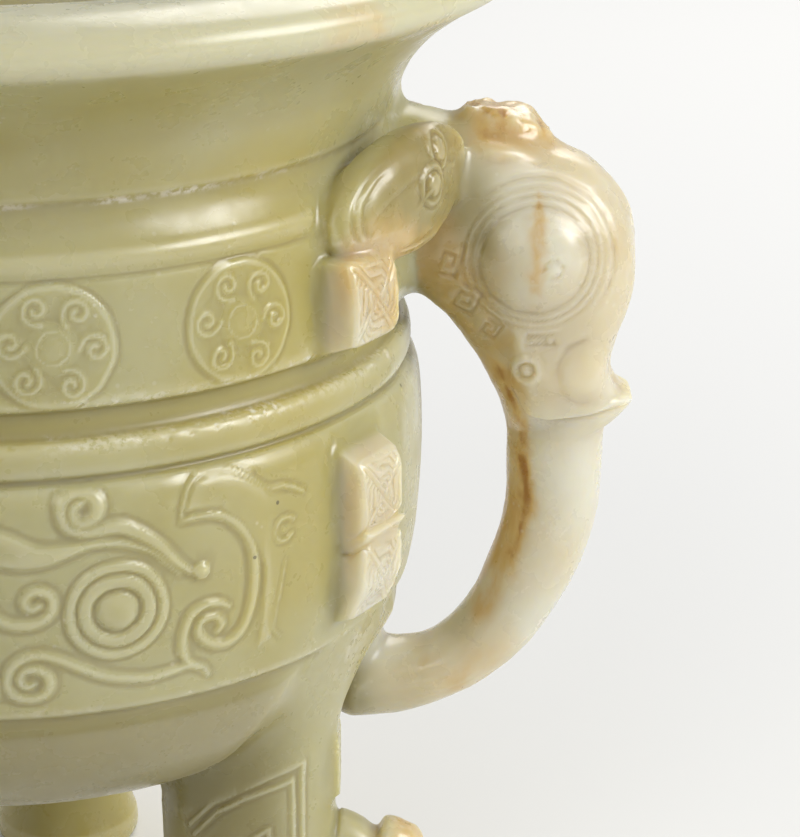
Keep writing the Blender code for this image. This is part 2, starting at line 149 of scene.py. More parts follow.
# hand-made unevenness: the mean of a few sines of about that size in fixed directions, -1 to 1
def ripple(points, size, seed, waves=7):
    dice = np.random.default_rng(seed)
    ways = dice.normal(size=(waves, points.shape[-1]))
    ways *= 2.0 * np.pi / size / np.linalg.norm(ways, axis=1, keepdims=True)
    ways *= dice.uniform(0.6, 1.5, (waves, 1))
    phase = dice.uniform(0, 2.0 * np.pi, waves)
    total = np.zeros(points.shape[:-1])
    for way, start in zip(ways, phase):
        total += np.sin(points @ way + start)
    return total * 1.6 / waves


# smooth path through a few rows of numbers: a cubic on each span that leaves each row
# along the line between its neighbours
def through(rows, count):
    p = np.asarray(rows, float)
    p = np.vstack([2 * p[0] - p[1], p, 2 * p[-1] - p[-2]])
    place = np.linspace(0, len(p) - 3, count)
    k = np.minimum(place.astype(int), len(p) - 4)
    t = (place - k)[:, None]
    a, b, c, d = p[k], p[k + 1], p[k + 2], p[k + 3]
    return 0.5 * (2 * b + (c - a) * t + (2 * a - 5 * b + 4 * c - d) * t * t
                  + (3 * b - a - 3 * c + d) * t ** 3)


# how far each spot (x, y) lies outside a stroke of rows (x, y, half width): the distance to
# the nearest piece of its middle line less the half width there, negative inside
def strokeGap(path, x, y, margin=2.5):
    gap = np.full(x.shape, 99.0)
    near = ((x > path[:, 0].min() - margin - path[:, 2].max())
            & (x < path[:, 0].max() + margin + path[:, 2].max())
            & (y > path[:, 1].min() - margin - path[:, 2].max())
            & (y < path[:, 1].max() + margin + path[:, 2].max()))
    px, py = x[near], y[near]
    best = np.full(px.shape, 99.0)
    for (x0, y0, w0), (x1, y1, w1) in zip(path[:-1], path[1:]):
        ux, uy = x1 - x0, y1 - y0
        t = np.clip(((px - x0) * ux + (py - y0) * uy) / (ux * ux + uy * uy + 1e-9), 0, 1)
        best = np.minimum(best, np.hypot(px - x0 - t * ux, py - y0 - t * uy) - w0 - (w1 - w0) * t)
    gap[near] = best
    return gap


# 1 inside a closed outline of rows (x, y), counted by how often a level line crosses it
def insideOutline(outline, x, y):
    count = np.zeros(x.shape, int)
    for (x0, y0), (x1, y1) in zip(outline, np.roll(outline, -1, axis=0)):
        crosses = (y0 > y) != (y1 > y)
        count += crosses & (x < x0 + (y - y0) * (x1 - x0) / (y1 - y0 + 1e-12))
    return (count % 2).astype(float)


# unit vector away from the body's axis at an angle in degrees from the front towards +X
def outward(angle):
    a = np.radians(angle)
    return np.stack([np.sin(a), -np.cos(a), np.zeros_like(a)], -1)


# points from (angle, radius, height) about the body's axis
def aroundAxis(angle, radius, height):
    a = np.radians(angle)
    return np.stack([radius * np.sin(a), -radius * np.cos(a), height + 0.0 * a], -1)


# points at (out, across, height) on the side of the axis that an angle faces
def onSide(angle, out, wide, height):
    way = outward(np.array(angle))
    across = np.array([-way[1], way[0], 0.0])
    return out[..., None] * way + wide[..., None] * across + height[..., None] * [0, 0, 1]


# angle, radius and height of each spot of a profile (radius, height) turned round the axis
def turned(rows, columns):
    columns = int(columns * fine)
    angle = np.repeat((np.arange(columns) * 360.0 / columns)[None], len(rows), axis=0)
    radius, height = (np.repeat(rows[:, k:k + 1], columns, axis=1) for k in (0, 1))
    return angle, radius, height


# reach and height of rings about a line of rows (reach, height, half thickness): square to
# the line by the half thickness times a share
def ringsAlong(line, share):
    along = np.gradient(line[:, :2], axis=0)
    along /= np.linalg.norm(along, axis=1, keepdims=True)
    thick = line[:, 2:]
    return line[:, :1] - along[:, 1:] * thick * share, line[:, 1:2] + along[:, :1] * thick * share


# vertex normals of a grid of rings: the cross product of its two grid directions
def gridNormals(grid):
    down = np.gradient(grid, axis=0)
    along = (np.roll(grid, -1, axis=1) - np.roll(grid, 1, axis=1)) / 2.0
    normal = np.cross(along, down)
    normal /= np.linalg.norm(normal, axis=-1, keepdims=True) + 1e-12
    middle = grid.mean(axis=1, keepdims=True)
    side = np.sign((normal * (grid - middle)).sum(-1).mean())
    return normal * side


# skin of a grid of rings: two triangles between each pair of neighbours, and a fan from each
# end ring to its tip; the faces are turned outwards by the sign of the volume
def skin(grid, startTip=None, endTip=None):
    rows, cols, _ = grid.shape
    startTip = grid[0].mean(axis=0) if startTip is None else np.asarray(startTip, float)
    endTip = grid[-1].mean(axis=0) if endTip is None else np.asarray(endTip, float)
    points = np.vstack([grid.reshape(-1, 3), startTip, endTip])
    ring = np.arange(cols)
    after = (ring + 1) % cols
    base = (np.arange(rows - 1) * cols)[:, None]
    a, b, c, d = base + ring, base + after, base + cols + after, base + cols + ring
    tris = [np.stack([a, b, c], -1).reshape(-1, 3), np.stack([a, c, d], -1).reshape(-1, 3),
            np.stack([np.full(cols, rows * cols), after, ring], -1),
            np.stack([np.full(cols, rows * cols + 1), (rows - 1) * cols + ring,
                      (rows - 1) * cols + after], -1)]
    tris = np.vstack(tris)
    corners = points[tris]
    volume = np.einsum("ij,ij->i", corners[:, 0], np.cross(corners[:, 1], corners[:, 2])).sum()
    return points, tris if volume > 0 else tris[:, ::-1]


# several numbered skins as one list of points, one of triangles and each triangle's number
def together(skins):
    start = 0
    points, tris, owners = [], [], []
    for number, (some, faces) in skins:
        points.append(some)
        tris.append(faces + start)
        owners.append(np.full(len(faces), number, np.int32))
        start += len(some)
    return np.vstack(points), np.vstack(tris), np.concatenate(owners)


def newObject(name, points, tris, owners=None):
    mesh = bpy.data.meshes.new(name)
    mesh.vertices.add(len(points))
    mesh.vertices.foreach_set("co", (points * mm).astype(np.float32).ravel())
    mesh.loops.add(tris.size)
    mesh.loops.foreach_set("vertex_index", tris.astype(np.int32).ravel())
    mesh.polygons.add(len(tris))
    mesh.polygons.foreach_set("loop_start", np.arange(0, tris.size, 3, dtype=np.int32))
    layer = mesh.attributes.new("owner", "INT", "FACE")
    layer.data.foreach_set("value", np.zeros(len(tris), np.int32) if owners is None else owners)
    mesh.update(calc_edges=True)
    mesh.validate()
    item = bpy.data.objects.new(name, mesh)
    bpy.context.scene.collection.objects.link(item)
    return item


# rows of a named value of all vertices, edges or faces of a mesh
def readRows(items, name, width, kind=np.float32):
    values = np.empty(len(items) * width, kind)
    items.foreach_get(name, values)
    return values.reshape(-1, width)


body = {
    "columns": 960,
    "foot": 46.5,              # underside of the bowl
    "lowRadius": 65.6,
    "lowHeight": 77.4,
    "bottomCurve": 2.35,
    "flankRadius": 69.2,
    "bandRadius": 66.6,
    "unevenness": 0.09,
    "chips": 0.25,
    # chipped ridges: (height, half width, share)
    "ridges": [(121.6, 0.9, 1), (127.9, 0.8, 0.7), (157.6, 0.8, 0.5), (78.6, 0.6, 0.4)],
    # outer side above the bowl's underside: (radius, height)
    "side": [(65.6, 77.4), (66.7, 78.3), (67.1, 79.2), (67.5, 81), (68.2, 85), (68.8, 90.5),
             (69.2, 97), (69.3, 104), (69.1, 109.5), (68.6, 113), (67.6, 115.2),
             (66.5, 116), (66.5, 116.5), (67.2, 117.3), (67.4, 119), (67.2, 120.8),
             (66.6, 121.9), (65.2, 122.6), (64.7, 123.8), (64.6, 125.2), (65, 126.5),
             (66.5, 127.3), (67.2, 128.2), (67.1, 130.5), (66.7, 136), (66.3, 142),
             (66.1, 146), (65.7, 146.8), (65.9, 147.6), (65.8, 149.8), (64.6, 151.6),
             (63.3, 154), (62.7, 156.6), (62.9, 157.5), (63.5, 158.2), (64.4, 160.6),
             (66, 164), (68.1, 167.6), (70.8, 170.9), (74, 173.9), (77.6, 176.5),
             (80.8, 178.5), (83.2, 179.8), (84.4, 180.5), (85.5, 181.8), (85.95, 183.4),
             (85.5, 185), (84.2, 186.4), (81.6, 187.4), (79.2, 187.95), (77.4, 188.15),
             (76, 188.2)],
}

cavity = {
    "columns": 320,
    "floor": 53.5,
    "radius": 63.2,
    "turn": 33,
    "side": [(63.2, 86.5), (63.2, 108.5), (61.4, 116), (59.2, 122), (58, 134), (57, 147),
             (56.9, 153.5), (57.6, 159.5), (59.2, 165), (61.6, 170.4), (64.6, 175.4),
             (67.6, 180.2), (69.3, 184), (69.9, 186.4), (70.3, 187.7), (71.2, 188.5),
             (74, 192)],
}

# low relief of the beast mask on the right of its middle; strokes are rows of
# (degrees from the middle, height, half width)
mask = {
    "scale": math.pi / 180.0 * 69.2,
    "rise": 0.55,
    "soft": 1.05,
    "groove": 0.16,
    "brow": [(15.5, 113.5, 0.8), (14.4, 112.7, 1), (14.4, 111.1, 1.1), (15.5, 110.2, 1.2),
             (16.8, 110.8, 1.3), (17.3, 112.6, 1.3), (16.5, 114.3, 1.3), (14.9, 114.9, 1.2),
             (13.3, 114.1, 1.2), (12.8, 112.1, 1.2), (13.4, 110, 1.2), (15.1, 108.9, 1.3),
             (17.3, 108.9, 1.4), (19.8, 108.9, 1.4), (22.6, 107.4, 1.4), (25.1, 105, 1.3),
             (27.2, 102.2, 1.1), (29.1, 100, 0.8)],
    "lid": [(0, 108.7, 3.1), (2.6, 108.2, 3.1), (5.2, 107.1, 3.1), (7.6, 105.9, 2.6),
            (10, 105.5, 2), (12.5, 105.9, 1.5), (15, 106.6, 1.1), (17.5, 106.9, 0.9),
            (20.6, 106.3, 0.8), (23.6, 104.5, 0.7), (25.7, 102.3, 0.6), (27.7, 99.8, 0.4)],
    "nostril": [(9.5, 97.5, 0.8), (8.5, 97.1, 0.8), (7.8, 98.3, 0.9), (8.4, 99.7, 1),
                (9.7, 99.9, 1.1), (10.9, 98.7, 1.1), (11, 96.7, 1.1), (9.9, 95.2, 1.1),
                (8.2, 94.6, 1.2), (6.2, 94.8, 1.2), (4.3, 96.1, 1.1), (3.2, 98.4, 1)],
    "fang": [(8.5, 84.4, 0.6), (7.5, 84.1, 0.8), (6.8, 85.3, 0.9), (7.4, 86.8, 1),
             (8.8, 87.1, 1.1), (10.1, 86, 1.1), (10.5, 84.2, 1.1), (9.7, 82.4, 1.1),
             (7.9, 81.8, 1.1), (6, 82.7, 1.1), (5.2, 84.8, 1.1), (5.7, 87.2, 1.1),
             (7.2, 88.9, 1.1), (9.5, 89.4, 1.1), (11.7, 88.5, 1.1), (14.1, 86.9, 1.1),
             (16.8, 85.3, 1.1), (20, 83.9, 1.1), (23.2, 83.2, 1.1), (26.2, 83.7, 1),
             (29, 84.1, 0.9), (30.9, 83.1, 0.7), (32, 81.2, 0.3)],
    "cheek": [(28.2, 108.5, 0.5), (30.7, 108.7, 0.8), (33.8, 107.9, 1), (36.4, 105.2, 1.1),
              (38, 101.6, 1.1), (38.4, 97.5, 1.1), (38.2, 93.4, 1.1), (37.5, 90.3, 1.1),
              (36.2, 87.7, 1.1), (33.9, 86.4, 1.1), (31.5, 87.4, 1.1), (30.2, 89.8, 1),
              (30.8, 91.6, 0.9), (32.6, 91.6, 0.8), (33.5, 90, 0.8), (32.9, 88.9, 0.6)],
    "leaf": [(34.6, 92.7, 0.5), (33.3, 93.6, 0.8), (31.2, 93.9, 0.9), (29.3, 92.9, 1.1),
             (28.3, 90.6, 1.1), (28, 88.1, 1.1), (28.6, 85.4, 0.9), (30.1, 83.3, 0.6)],
    "wing": [(28.2, 109.3, 0.35), (28.9, 112.3, 0.35), (30.2, 114.3, 0.35), (32.5, 115, 0.35),
             (35.4, 114.6, 0.35), (37.8, 113.1, 0.35), (39.6, 111.4, 0.35), (41.2, 110.3, 0.35),
             (44, 109.8, 0.35), (46.8, 107.8, 0.3)],
    "ear": [(44.6, 101.6, 0.3), (43.6, 100.9, 0.35), (42.3, 101.4, 0.4), (41.8, 102.9, 0.4),
            (42.5, 104.4, 0.4), (43.8, 104.7, 0.4), (44.9, 103.9, 0.35)],
    "temple": [(43.5, 97.5, 0.2), (42.7, 92.7, 0.25), (41.8, 86.8, 0.25), (43.3, 84.5, 0.2)],
    "nose": [(0, 114, 1.6), (0, 106, 1.9), (0, 99, 2.3), (0, 94, 3),
             (0, 91.5, 3.4)],
    "muzzle": [(0, 87.6, 1.2), (2.2, 87.2, 1.2), (3.8, 85.2, 1.1), (4, 82.6, 0.8)],
    "wingArea": [(28.2, 109.3), (28.9, 112.3), (30.2, 114.3), (32.5, 115), (35.4, 114.6),
                 (37.8, 113.1), (41.2, 110.3), (44, 109.8), (46.8, 107.8), (46.2, 103.2),
                 (45.4, 96.8), (44.1, 90.5), (41.7, 84.6), (38.8, 83.1), (39.5, 90.4),
                 (39.7, 97.1), (38.2, 101.7), (36.1, 106.1), (33.1, 108.9)],
    "eye": (19.3, 95.6),
    "ball": (30.5, 99.8),
}

# six curls round a boss inside a ring
medallion = {
    "angles": (12.86, 38.57),
    "height": 137,
    "radius": 9.65,
    "boss": 3,
    "curlReach": 6.25,
    "curlAngles": (111, 53, -5.5, -67, -131, 171),
    "rise": 0.4,
}


# height of the mask's relief at (degrees from its middle, height): rounded bands with a fine
# line cut beside each, a domed eye in two rings, a ball at the brow's end
def maskRelief(angle, height):
    x = angle * mask["scale"]
    lift = np.zeros(x.shape)
    cut = np.zeros(x.shape)
    for name in ("brow", "lid", "nostril", "fang", "cheek", "leaf", "wing", "ear", "temple",
                 "nose", "muzzle"):
        rows = np.array(mask[name]) * (mask["scale"], 1, 1)
        gap = strokeGap(through(rows, len(rows) * 6), x, height)
        thin = rows[:, 2].max() < 0.5
        rise = mask["rise"] * (0.45 if thin else 1)
        soft = 0.4 if thin else mask["soft"]
        lift = np.maximum(lift, rise * fade(-soft, 0.12, gap))
        cut = np.maximum(cut, mask["groove"] * bell(gap, 0.45, 0.38))
    outline = np.array(mask["wingArea"]) * (mask["scale"], 1)
    edge = np.hstack([np.vstack([outline, outline[:1]]), np.zeros((len(outline) + 1, 1))])
    depth = insideOutline(outline, x, height) * np.minimum(strokeGap(edge, x, height), 9)
    plate = ease(0, 1, depth) * fade(3, 9, depth)
    lift = np.maximum(lift, 0.36 * plate * fade(39.5, 44, angle))
    away = np.hypot(x - mask["eye"][0] * mask["scale"], height - mask["eye"][1])
    dome = 0.8 * cap(away, 3.3)
    rings = 0.55 * fade(0.6, 1.4, np.abs(away - 4.95))
    rings += 0.5 * fade(0.35, 1.1, np.abs(away - 7.3))
    lift = np.where(away < 8.6, np.maximum(dome, rings), lift)
    cuts = sum(bell(away, radius, 0.38) for radius in (3.5, 6.15, 8.55))
    cut = np.where(away < 8.9, 0.15 * cuts, cut)
    away = np.hypot(x - mask["ball"][0] * mask["scale"], height - mask["ball"][1])
    lift = np.maximum(lift, 0.95 * cap(away, 1.5))
    return lift - cut * (1.0 - ease(0.2, 0.8, lift / mask["rise"]) * (away > 1.6))


# height of a medallion's relief at (across, up) from its middle: a low disc in a cut circle,
# a boss, and curls that open out of the circle
def medallionRelief(across, up):
    away = np.hypot(across, up)
    radius = medallion["radius"]
    lift = medallion["rise"] * fade(radius - 0.8, radius + 0.2, away)
    lift -= 0.14 * bell(away, radius + 0.25, 0.4)
    lift -= 0.14 * ease(3.4, 4.2, away) * fade(radius - 1.4, radius - 0.7, away)
    boss = medallion["boss"]
    lift += 0.25 * fade(boss - 0.6, boss + 0.1, away) - 0.16 * bell(away, boss - 1, 0.3)
    curls = np.zeros(across.shape)
    for place in medallion["curlAngles"]:
        turn = math.radians(place)
        cx, cy = medallion["curlReach"] * math.cos(turn), medallion["curlReach"] * math.sin(turn)
        swing = turn + math.pi - np.linspace(0, 2.6, 30) * math.pi
        reach = np.linspace(2.35, 0.45, 30)
        line = np.stack([cx + reach * np.cos(swing), cy + reach * np.sin(swing),
                         np.linspace(0.34, 0.42, 30)], -1)
        gap = strokeGap(line, across, up, 1.5)
        curls = np.maximum(curls, 0.34 * fade(-0.4, 0.3, gap))
    return (lift + curls * (away < radius)) * (away < radius + 1.2)


# row heights along a dense line: steps as long as the wanted spacing at that height
def pickRows(line, spacing):
    step = np.linalg.norm(np.diff(line, axis=0), axis=1)
    want = spacing(0.5 * (line[1:, 1] + line[:-1, 1]), 0.5 * (line[1:, 0] + line[:-1, 0]))
    count = np.concatenate([[0.0], np.cumsum(step / want)])
    places = np.linspace(0, count[-1], int(count[-1] * fine) + 2)
    return np.stack([np.interp(places, count, line[:, 0]), np.interp(places, count, line[:, 1])], -1)


# outside of the body: the turned profile, radius at each height, plus the relief folded four
# times round, a little unevenness and the chips along the ridges
def bodyGrid():
    t = np.radians(np.linspace(3, 86, 40))
    power = 2.0 / body["bottomCurve"]
    bottom = np.stack([body["lowRadius"] * np.sin(t) ** power,
                       body["lowHeight"] - (body["lowHeight"] - body["foot"]) * np.cos(t) ** power], -1)
    line = np.vstack([bottom, through(body["side"], 2600), [(70, 188.2), (40, 188.2), (2, 188.2)]])

    def spacing(height, radius):
        want = np.full(height.shape, 1.3)
        want[(height > 77) & (height < 147.8)] = 0.45
        want[(height > 147.8) & (height < 160)] = 0.6
        want[(height > 160) & (height < 178.5)] = 1.0
        want[(height > 178.5) & (radius > 71)] = 0.6
        want[(height > 188) & (radius < 75)] = 6.0
        want[(height < 58)] = 1.8
        return want

    rows = pickRows(line, spacing)
    angle, radius, height = turned(rows, body["columns"])
    spot = aroundAxis(angle, radius, height)
    sway = ripple(spot, 17, 3)
    folded = np.abs((angle + 180) % 360.0 - 180)
    folded = np.where(folded > 90, 180.0 - folded, folded)

    zone = (height[:, 0] > 79) & (height[:, 0] < 116.2)
    shown = ease(79.2, 80.6, height[zone]) * fade(114.8, 115.8, height[zone])
    wobble = 0.16 * ripple(spot[zone], 11, 5)
    radius[zone] += shown * maskRelief(folded[zone] + wobble, height[zone] + wobble)

    zone = (height[:, 0] > 127.6) & (height[:, 0] < 147)
    for middle in medallion["angles"]:
        across = (folded[zone] - middle) * math.pi / 180.0 * body["bandRadius"]
        up = height[zone] - medallion["height"]
        wobble = 0.12 * ripple(spot[zone], 6, int(middle))
        radius[zone] += medallionRelief(across + wobble, up - wobble)

    patches = ease(0, 0.6, ripple(spot, 22, 11)) * ease(0.15, 0.7, ripple(spot, 2.4, 12))
    edges = sum(share * bell(height, middle, wide) for middle, wide, share in body["ridges"])
    outside = radius > 60.0
    radius -= body["chips"] * patches * edges * outside
    radius += body["unevenness"] * sway * (height < 187.5) * ease(20, 40, radius)
    return aroundAxis(angle, radius, height)


def cavityGrid():
    t = np.radians(np.linspace(3, 87, 20))
    power = 2.0 / body["bottomCurve"]
    bottom = np.stack([cavity["radius"] * np.sin(t) ** power,
                       cavity["floor"] + cavity["turn"] * (1.0 - np.cos(t) ** power)], -1)
    line = np.vstack([bottom, through(cavity["side"], 400)])
    rows = pickRows(line, lambda height, radius: np.where(height > 183, 0.6, 2.2))
    angle, radius, height = turned(rows, cavity["columns"])
    radius += 0.12 * ripple(aroundAxis(angle, radius, height), 24, 8) * (height < 185)
    return aroundAxis(angle, radius, height)


flange = {
    "angles": (58, 122, 238, 302),
    "inner": 62.5,
    "bellyInner": 65.5,
    # name: (reach, foot, top, width)
    "neck": (73.4, 129.6, 143, 12.6),
    "upper": (74.2, 97.3, 110.6, 11.4),
    "lower": (74.2, 84, 96, 11.4),
    # (out, height, half thickness) along the tongue in the notch
    "tongue": [(64, 96.7, 1.9), (68.3, 96.7, 1.9), (70, 96.1, 1.8), (71.6, 96.5, 1.6),
               (73, 97.7, 1.2), (74.1, 99, 0.9), (74.5, 99.7, 0.5)],
    "tongueHalf": 5.75,
    "hatchStep": 1.1,
    "hatchDepth": 0.26,
}


# fine cuts on the face at (u, v) mm, quartered by its diagonals: cuts falling to the right
# above and below, rising to the right at the sides, and a longer cut along the falling diagonal
def hatch(u, v, half, tall):
    rise = np.abs(np.sin((u - v * 0.9) / flange["hatchStep"] * math.pi * 0.74))
    fall = np.abs(np.sin((u + v * 0.9) / flange["hatchStep"] * math.pi * 0.74))
    side = np.abs(u / half) > np.abs(v / tall)
    lines = np.where(side, 1.0 - ease(0, 0.66, rise), 1.0 - ease(0, 0.66, fall))
    cross = bell(u / half + v / tall, 0, 0.07)
    frameLine = 1.0 - ease(0.86, 0.96, np.maximum(np.abs(u / half), np.abs(v / tall)))
    return np.maximum(lines, cross) * frameLine


# block on the wall: rings of a rounded rectangle that grow over the outer face, turn over a
# soft edge and go straight back into the wall
def blockGrid(angle, inner, facts, reachAt, bendAt, seed, middle=(0, 0, 0)):
    foot, top, width = facts[1:]
    turn = ringTurns(200)
    cu, cv = boxy(np.cos(turn), 0.22), boxy(np.sin(turn), 0.22)
    size = np.maximum(np.abs(cu), np.abs(cv))
    cu, cv = cu / size, cv / size
    corner = (np.abs(cu) * np.abs(cv)) ** 6
    cu, cv = cu * (1.0 - 0.06 * corner), cv * (1.0 - 0.06 * corner)
    grow = np.linspace(0.03, 1, int(34 * fine))[:, None]
    u, v = grow * cu, grow * cv
    edge = 0.6 * ease(0.88, 1, grow) ** 2
    half, tall = width / 2, (top - foot) / 2.0
    height = (foot + top) / 2.0 + v * tall
    out = reachAt(height) - edge - flange["hatchDepth"] * hatch(u * half, v * tall, half, tall)
    down = np.linspace(0, 1, int(22 * fine) + 2)[1:, None]
    sideOut = out[-1:] + (inner - out[-1:]) * down
    grow = 1.0 + 0.02 * ease(0, 0.15, down) + 0.05 * down
    u = np.vstack([u, grow * cu])
    v = np.vstack([v, (1.0 + 0.0 * down) * cv])
    out = np.vstack([out, sideOut])
    height = (foot + top) / 2.0 + v * tall + bendAt(out, v)
    points = onSide(angle, out, u * half, height)
    points += 0.07 * ripple(points, 5, seed)[..., None] * outward(np.array(angle))
    return points + middle


# thin curled tongue in the notch between the two belly blocks: a flat band whose middle
# line dips, then hooks up towards the outer face
def tongueGrid(angle):
    line = through(flange["tongue"], int(40 * fine))
    turn = ringTurns(48)
    out, height = ringsAlong(line, boxy(np.sin(turn), 0.8))
    return onSide(angle, out, boxy(np.cos(turn), 0.3) * flange["tongueHalf"] + 0 * out, height)


def flangeSkins():
    def neckReach(height):
        lean = 1.3 * ease(137, 144, height) + 0.5 * ease(133, 129, height)
        return flange["neck"][0] - lean

    def bellyReach(height):
        lean = ease(106, 111.5, height) ** 2 + 2.6 * ease(92, 83.5, height) ** 1.4
        return flange["upper"][0] - lean

    # the underside slopes down towards the wall
    def neckBend(out, v):
        return -2.2 * ease(73.4, 66, out) * ease(0.2, 1, -v)

    # the edges at the notch follow a wave: up at the outer face, a dip behind it; the top
    # slopes up and the foot down towards the wall
    def upperBend(out, v):
        wave = 0.9 * ease(71.8, 74.4, out) - 1.5 * bell(out, 70.2, 1.8)
        slope = 2.7 * ease(74.2, 67, out)
        return wave * ease(-0.2, -1, v) + slope * ease(0.2, 1, v)

    def lowerBend(out, v):
        wave = ease(71.6, 74.2, out) - 1.4 * bell(out, 70.4, 1.9)
        slope = -1.6 * ease(73, 67, out)
        return wave * ease(0.2, 1, v) + slope * ease(0.2, 1, -v)

    sets = {"neck": [], "upper": [], "lower": [], "tongue": []}
    blocks = [("neck", flange["inner"], neckReach, neckBend),
              ("upper", flange["bellyInner"], bellyReach, upperBend),
              ("lower", flange["bellyInner"], bellyReach, lowerBend)]
    for seed, angle in enumerate(flange["angles"]):
        for order, (name, inner, reachAt, bendAt) in enumerate(blocks):
            grid = blockGrid(angle, inner, flange[name], reachAt, bendAt, seed + 10 * order)
            sets[name].append(skin(grid))
        sets["tongue"].append(skin(tongueGrid(angle)))
    return sets


handle = {
    "rings": 420,
    "sides": 180,
    # inner (reach, height), outer (reach, height), half width, squareness
    "pairs": [(60, 131, 60, 158.8, 12.6, 2.5), (64.2, 129.4, 66, 157.7, 12.2, 2.6),
              (68.6, 126.2, 73.5, 155.9, 12.5, 2.7), (73, 122.7, 81, 155.4, 12.9, 2.7),
              (76.6, 117.9, 90, 151.9, 13.2, 2.6), (78.4, 115.2, 98, 147.6, 13.3, 2.5),
              (79.9, 112.4, 102.9, 141.4, 13.2, 2.5), (81.2, 109.8, 104.7, 134.6, 12.8, 2.5),
              (82.3, 107.2, 104.6, 126.6, 12.2, 2.4), (83, 105.2, 102.5, 119.8, 11.2, 2.4),
              (83.3, 104, 101.3, 115, 10.2, 2.3), (83.5, 103, 101.5, 111.9, 9.4, 2.2),
              (83.65, 102.2, 103, 109.4, 8.8, 2.1), (83.75, 101.4, 105.1, 107.9, 8.4, 2),
              (83.85, 100.6, 104.9, 106.3, 8.2, 2), (83.9, 99.8, 102.9, 104, 8, 2),
              (83.9, 98.8, 101, 102.6, 7.9, 2), (83.9, 97.2, 100.3, 100.4, 7.8, 2.05),
              (83.9, 93, 100.2, 94.5, 7.8, 2.05), (83.7, 87.7, 99.8, 87.7, 7.8, 2.1),
              (82.6, 82.2, 98.4, 81.2, 7.8, 2.1), (80.6, 76.5, 96.2, 75, 7.7, 2.1),
              (78.7, 71.6, 92.6, 68.3, 7.4, 2.1), (75.6, 67, 88, 61.4, 7.1, 2.1),
              (72.4, 63.9, 82, 55.9, 6.9, 2.1), (69, 62, 74.5, 51.3, 6.9, 2.1),
              (64.7, 61.6, 66, 48.5, 7.2, 2.1), (60, 62.4, 58, 47.8, 7.8, 2.2),
              (53, 63, 51, 48.2, 8.2, 2.2)],
    "eye": (87.4, 134.7),
    "eyeRadius": 9.1,
    "eyeRise": 3,
    # strokes of (reach, height, half width)
    "snout": [(96, 120.6, 0), (93.4, 119.4, 0), (91.7, 116.6, 0), (91.7, 113.4, 0),
              (93.2, 110.9, 0), (95.4, 109.4, 0)],
    "brow": [(77.6, 153.6, 0.9), (79.8, 152.4, 1.1), (83, 152, 1.2), (86.6, 152.2, 1.1),
             (89.6, 152.4, 0.8), (93.4, 150, 0.6)],
    # (reach, height, half thickness) along the crest
    "crest": [(74.3, 150.8, 2), (75.9, 152.4, 3.4), (78.4, 153.2, 4.3), (81.4, 153.2, 4.6),
              (84.4, 152.6, 4.4), (87.2, 150.4, 4), (89.6, 148, 2.6)],
    "crestTop": 157.8,
    # squared spirals: (middle, width, height, turn in degrees)
    "spirals": [((73.8, 134.6), 3, 5.4, -16), ((76.6, 127.6), 3.4, 4.6, -24),
                ((88.7, 120.9), 4.6, 1.7, 2), ((80.6, 122.4), 2.4, 2.8, -30)],
}


# squared spiral as rows (x, y, 0): seven straight runs about a middle, turned by an angle
def squareSpiral(middle, wide, tall, angle):
    w, h = wide / 2, tall / 2.0
    rows = np.array([(-w, h), (w, h), (w, -h), (-w, -h), (-w, h * 0.35), (w * 0.35, h * 0.35),
                     (w * 0.35, -h * 0.4), (-w * 0.3, -h * 0.4)])
    a = math.radians(angle)
    rows = rows @ np.array([[math.cos(a), math.sin(a)], [-math.sin(a), math.cos(a)]]) + middle
    return np.hstack([rows, np.zeros((len(rows), 1))])


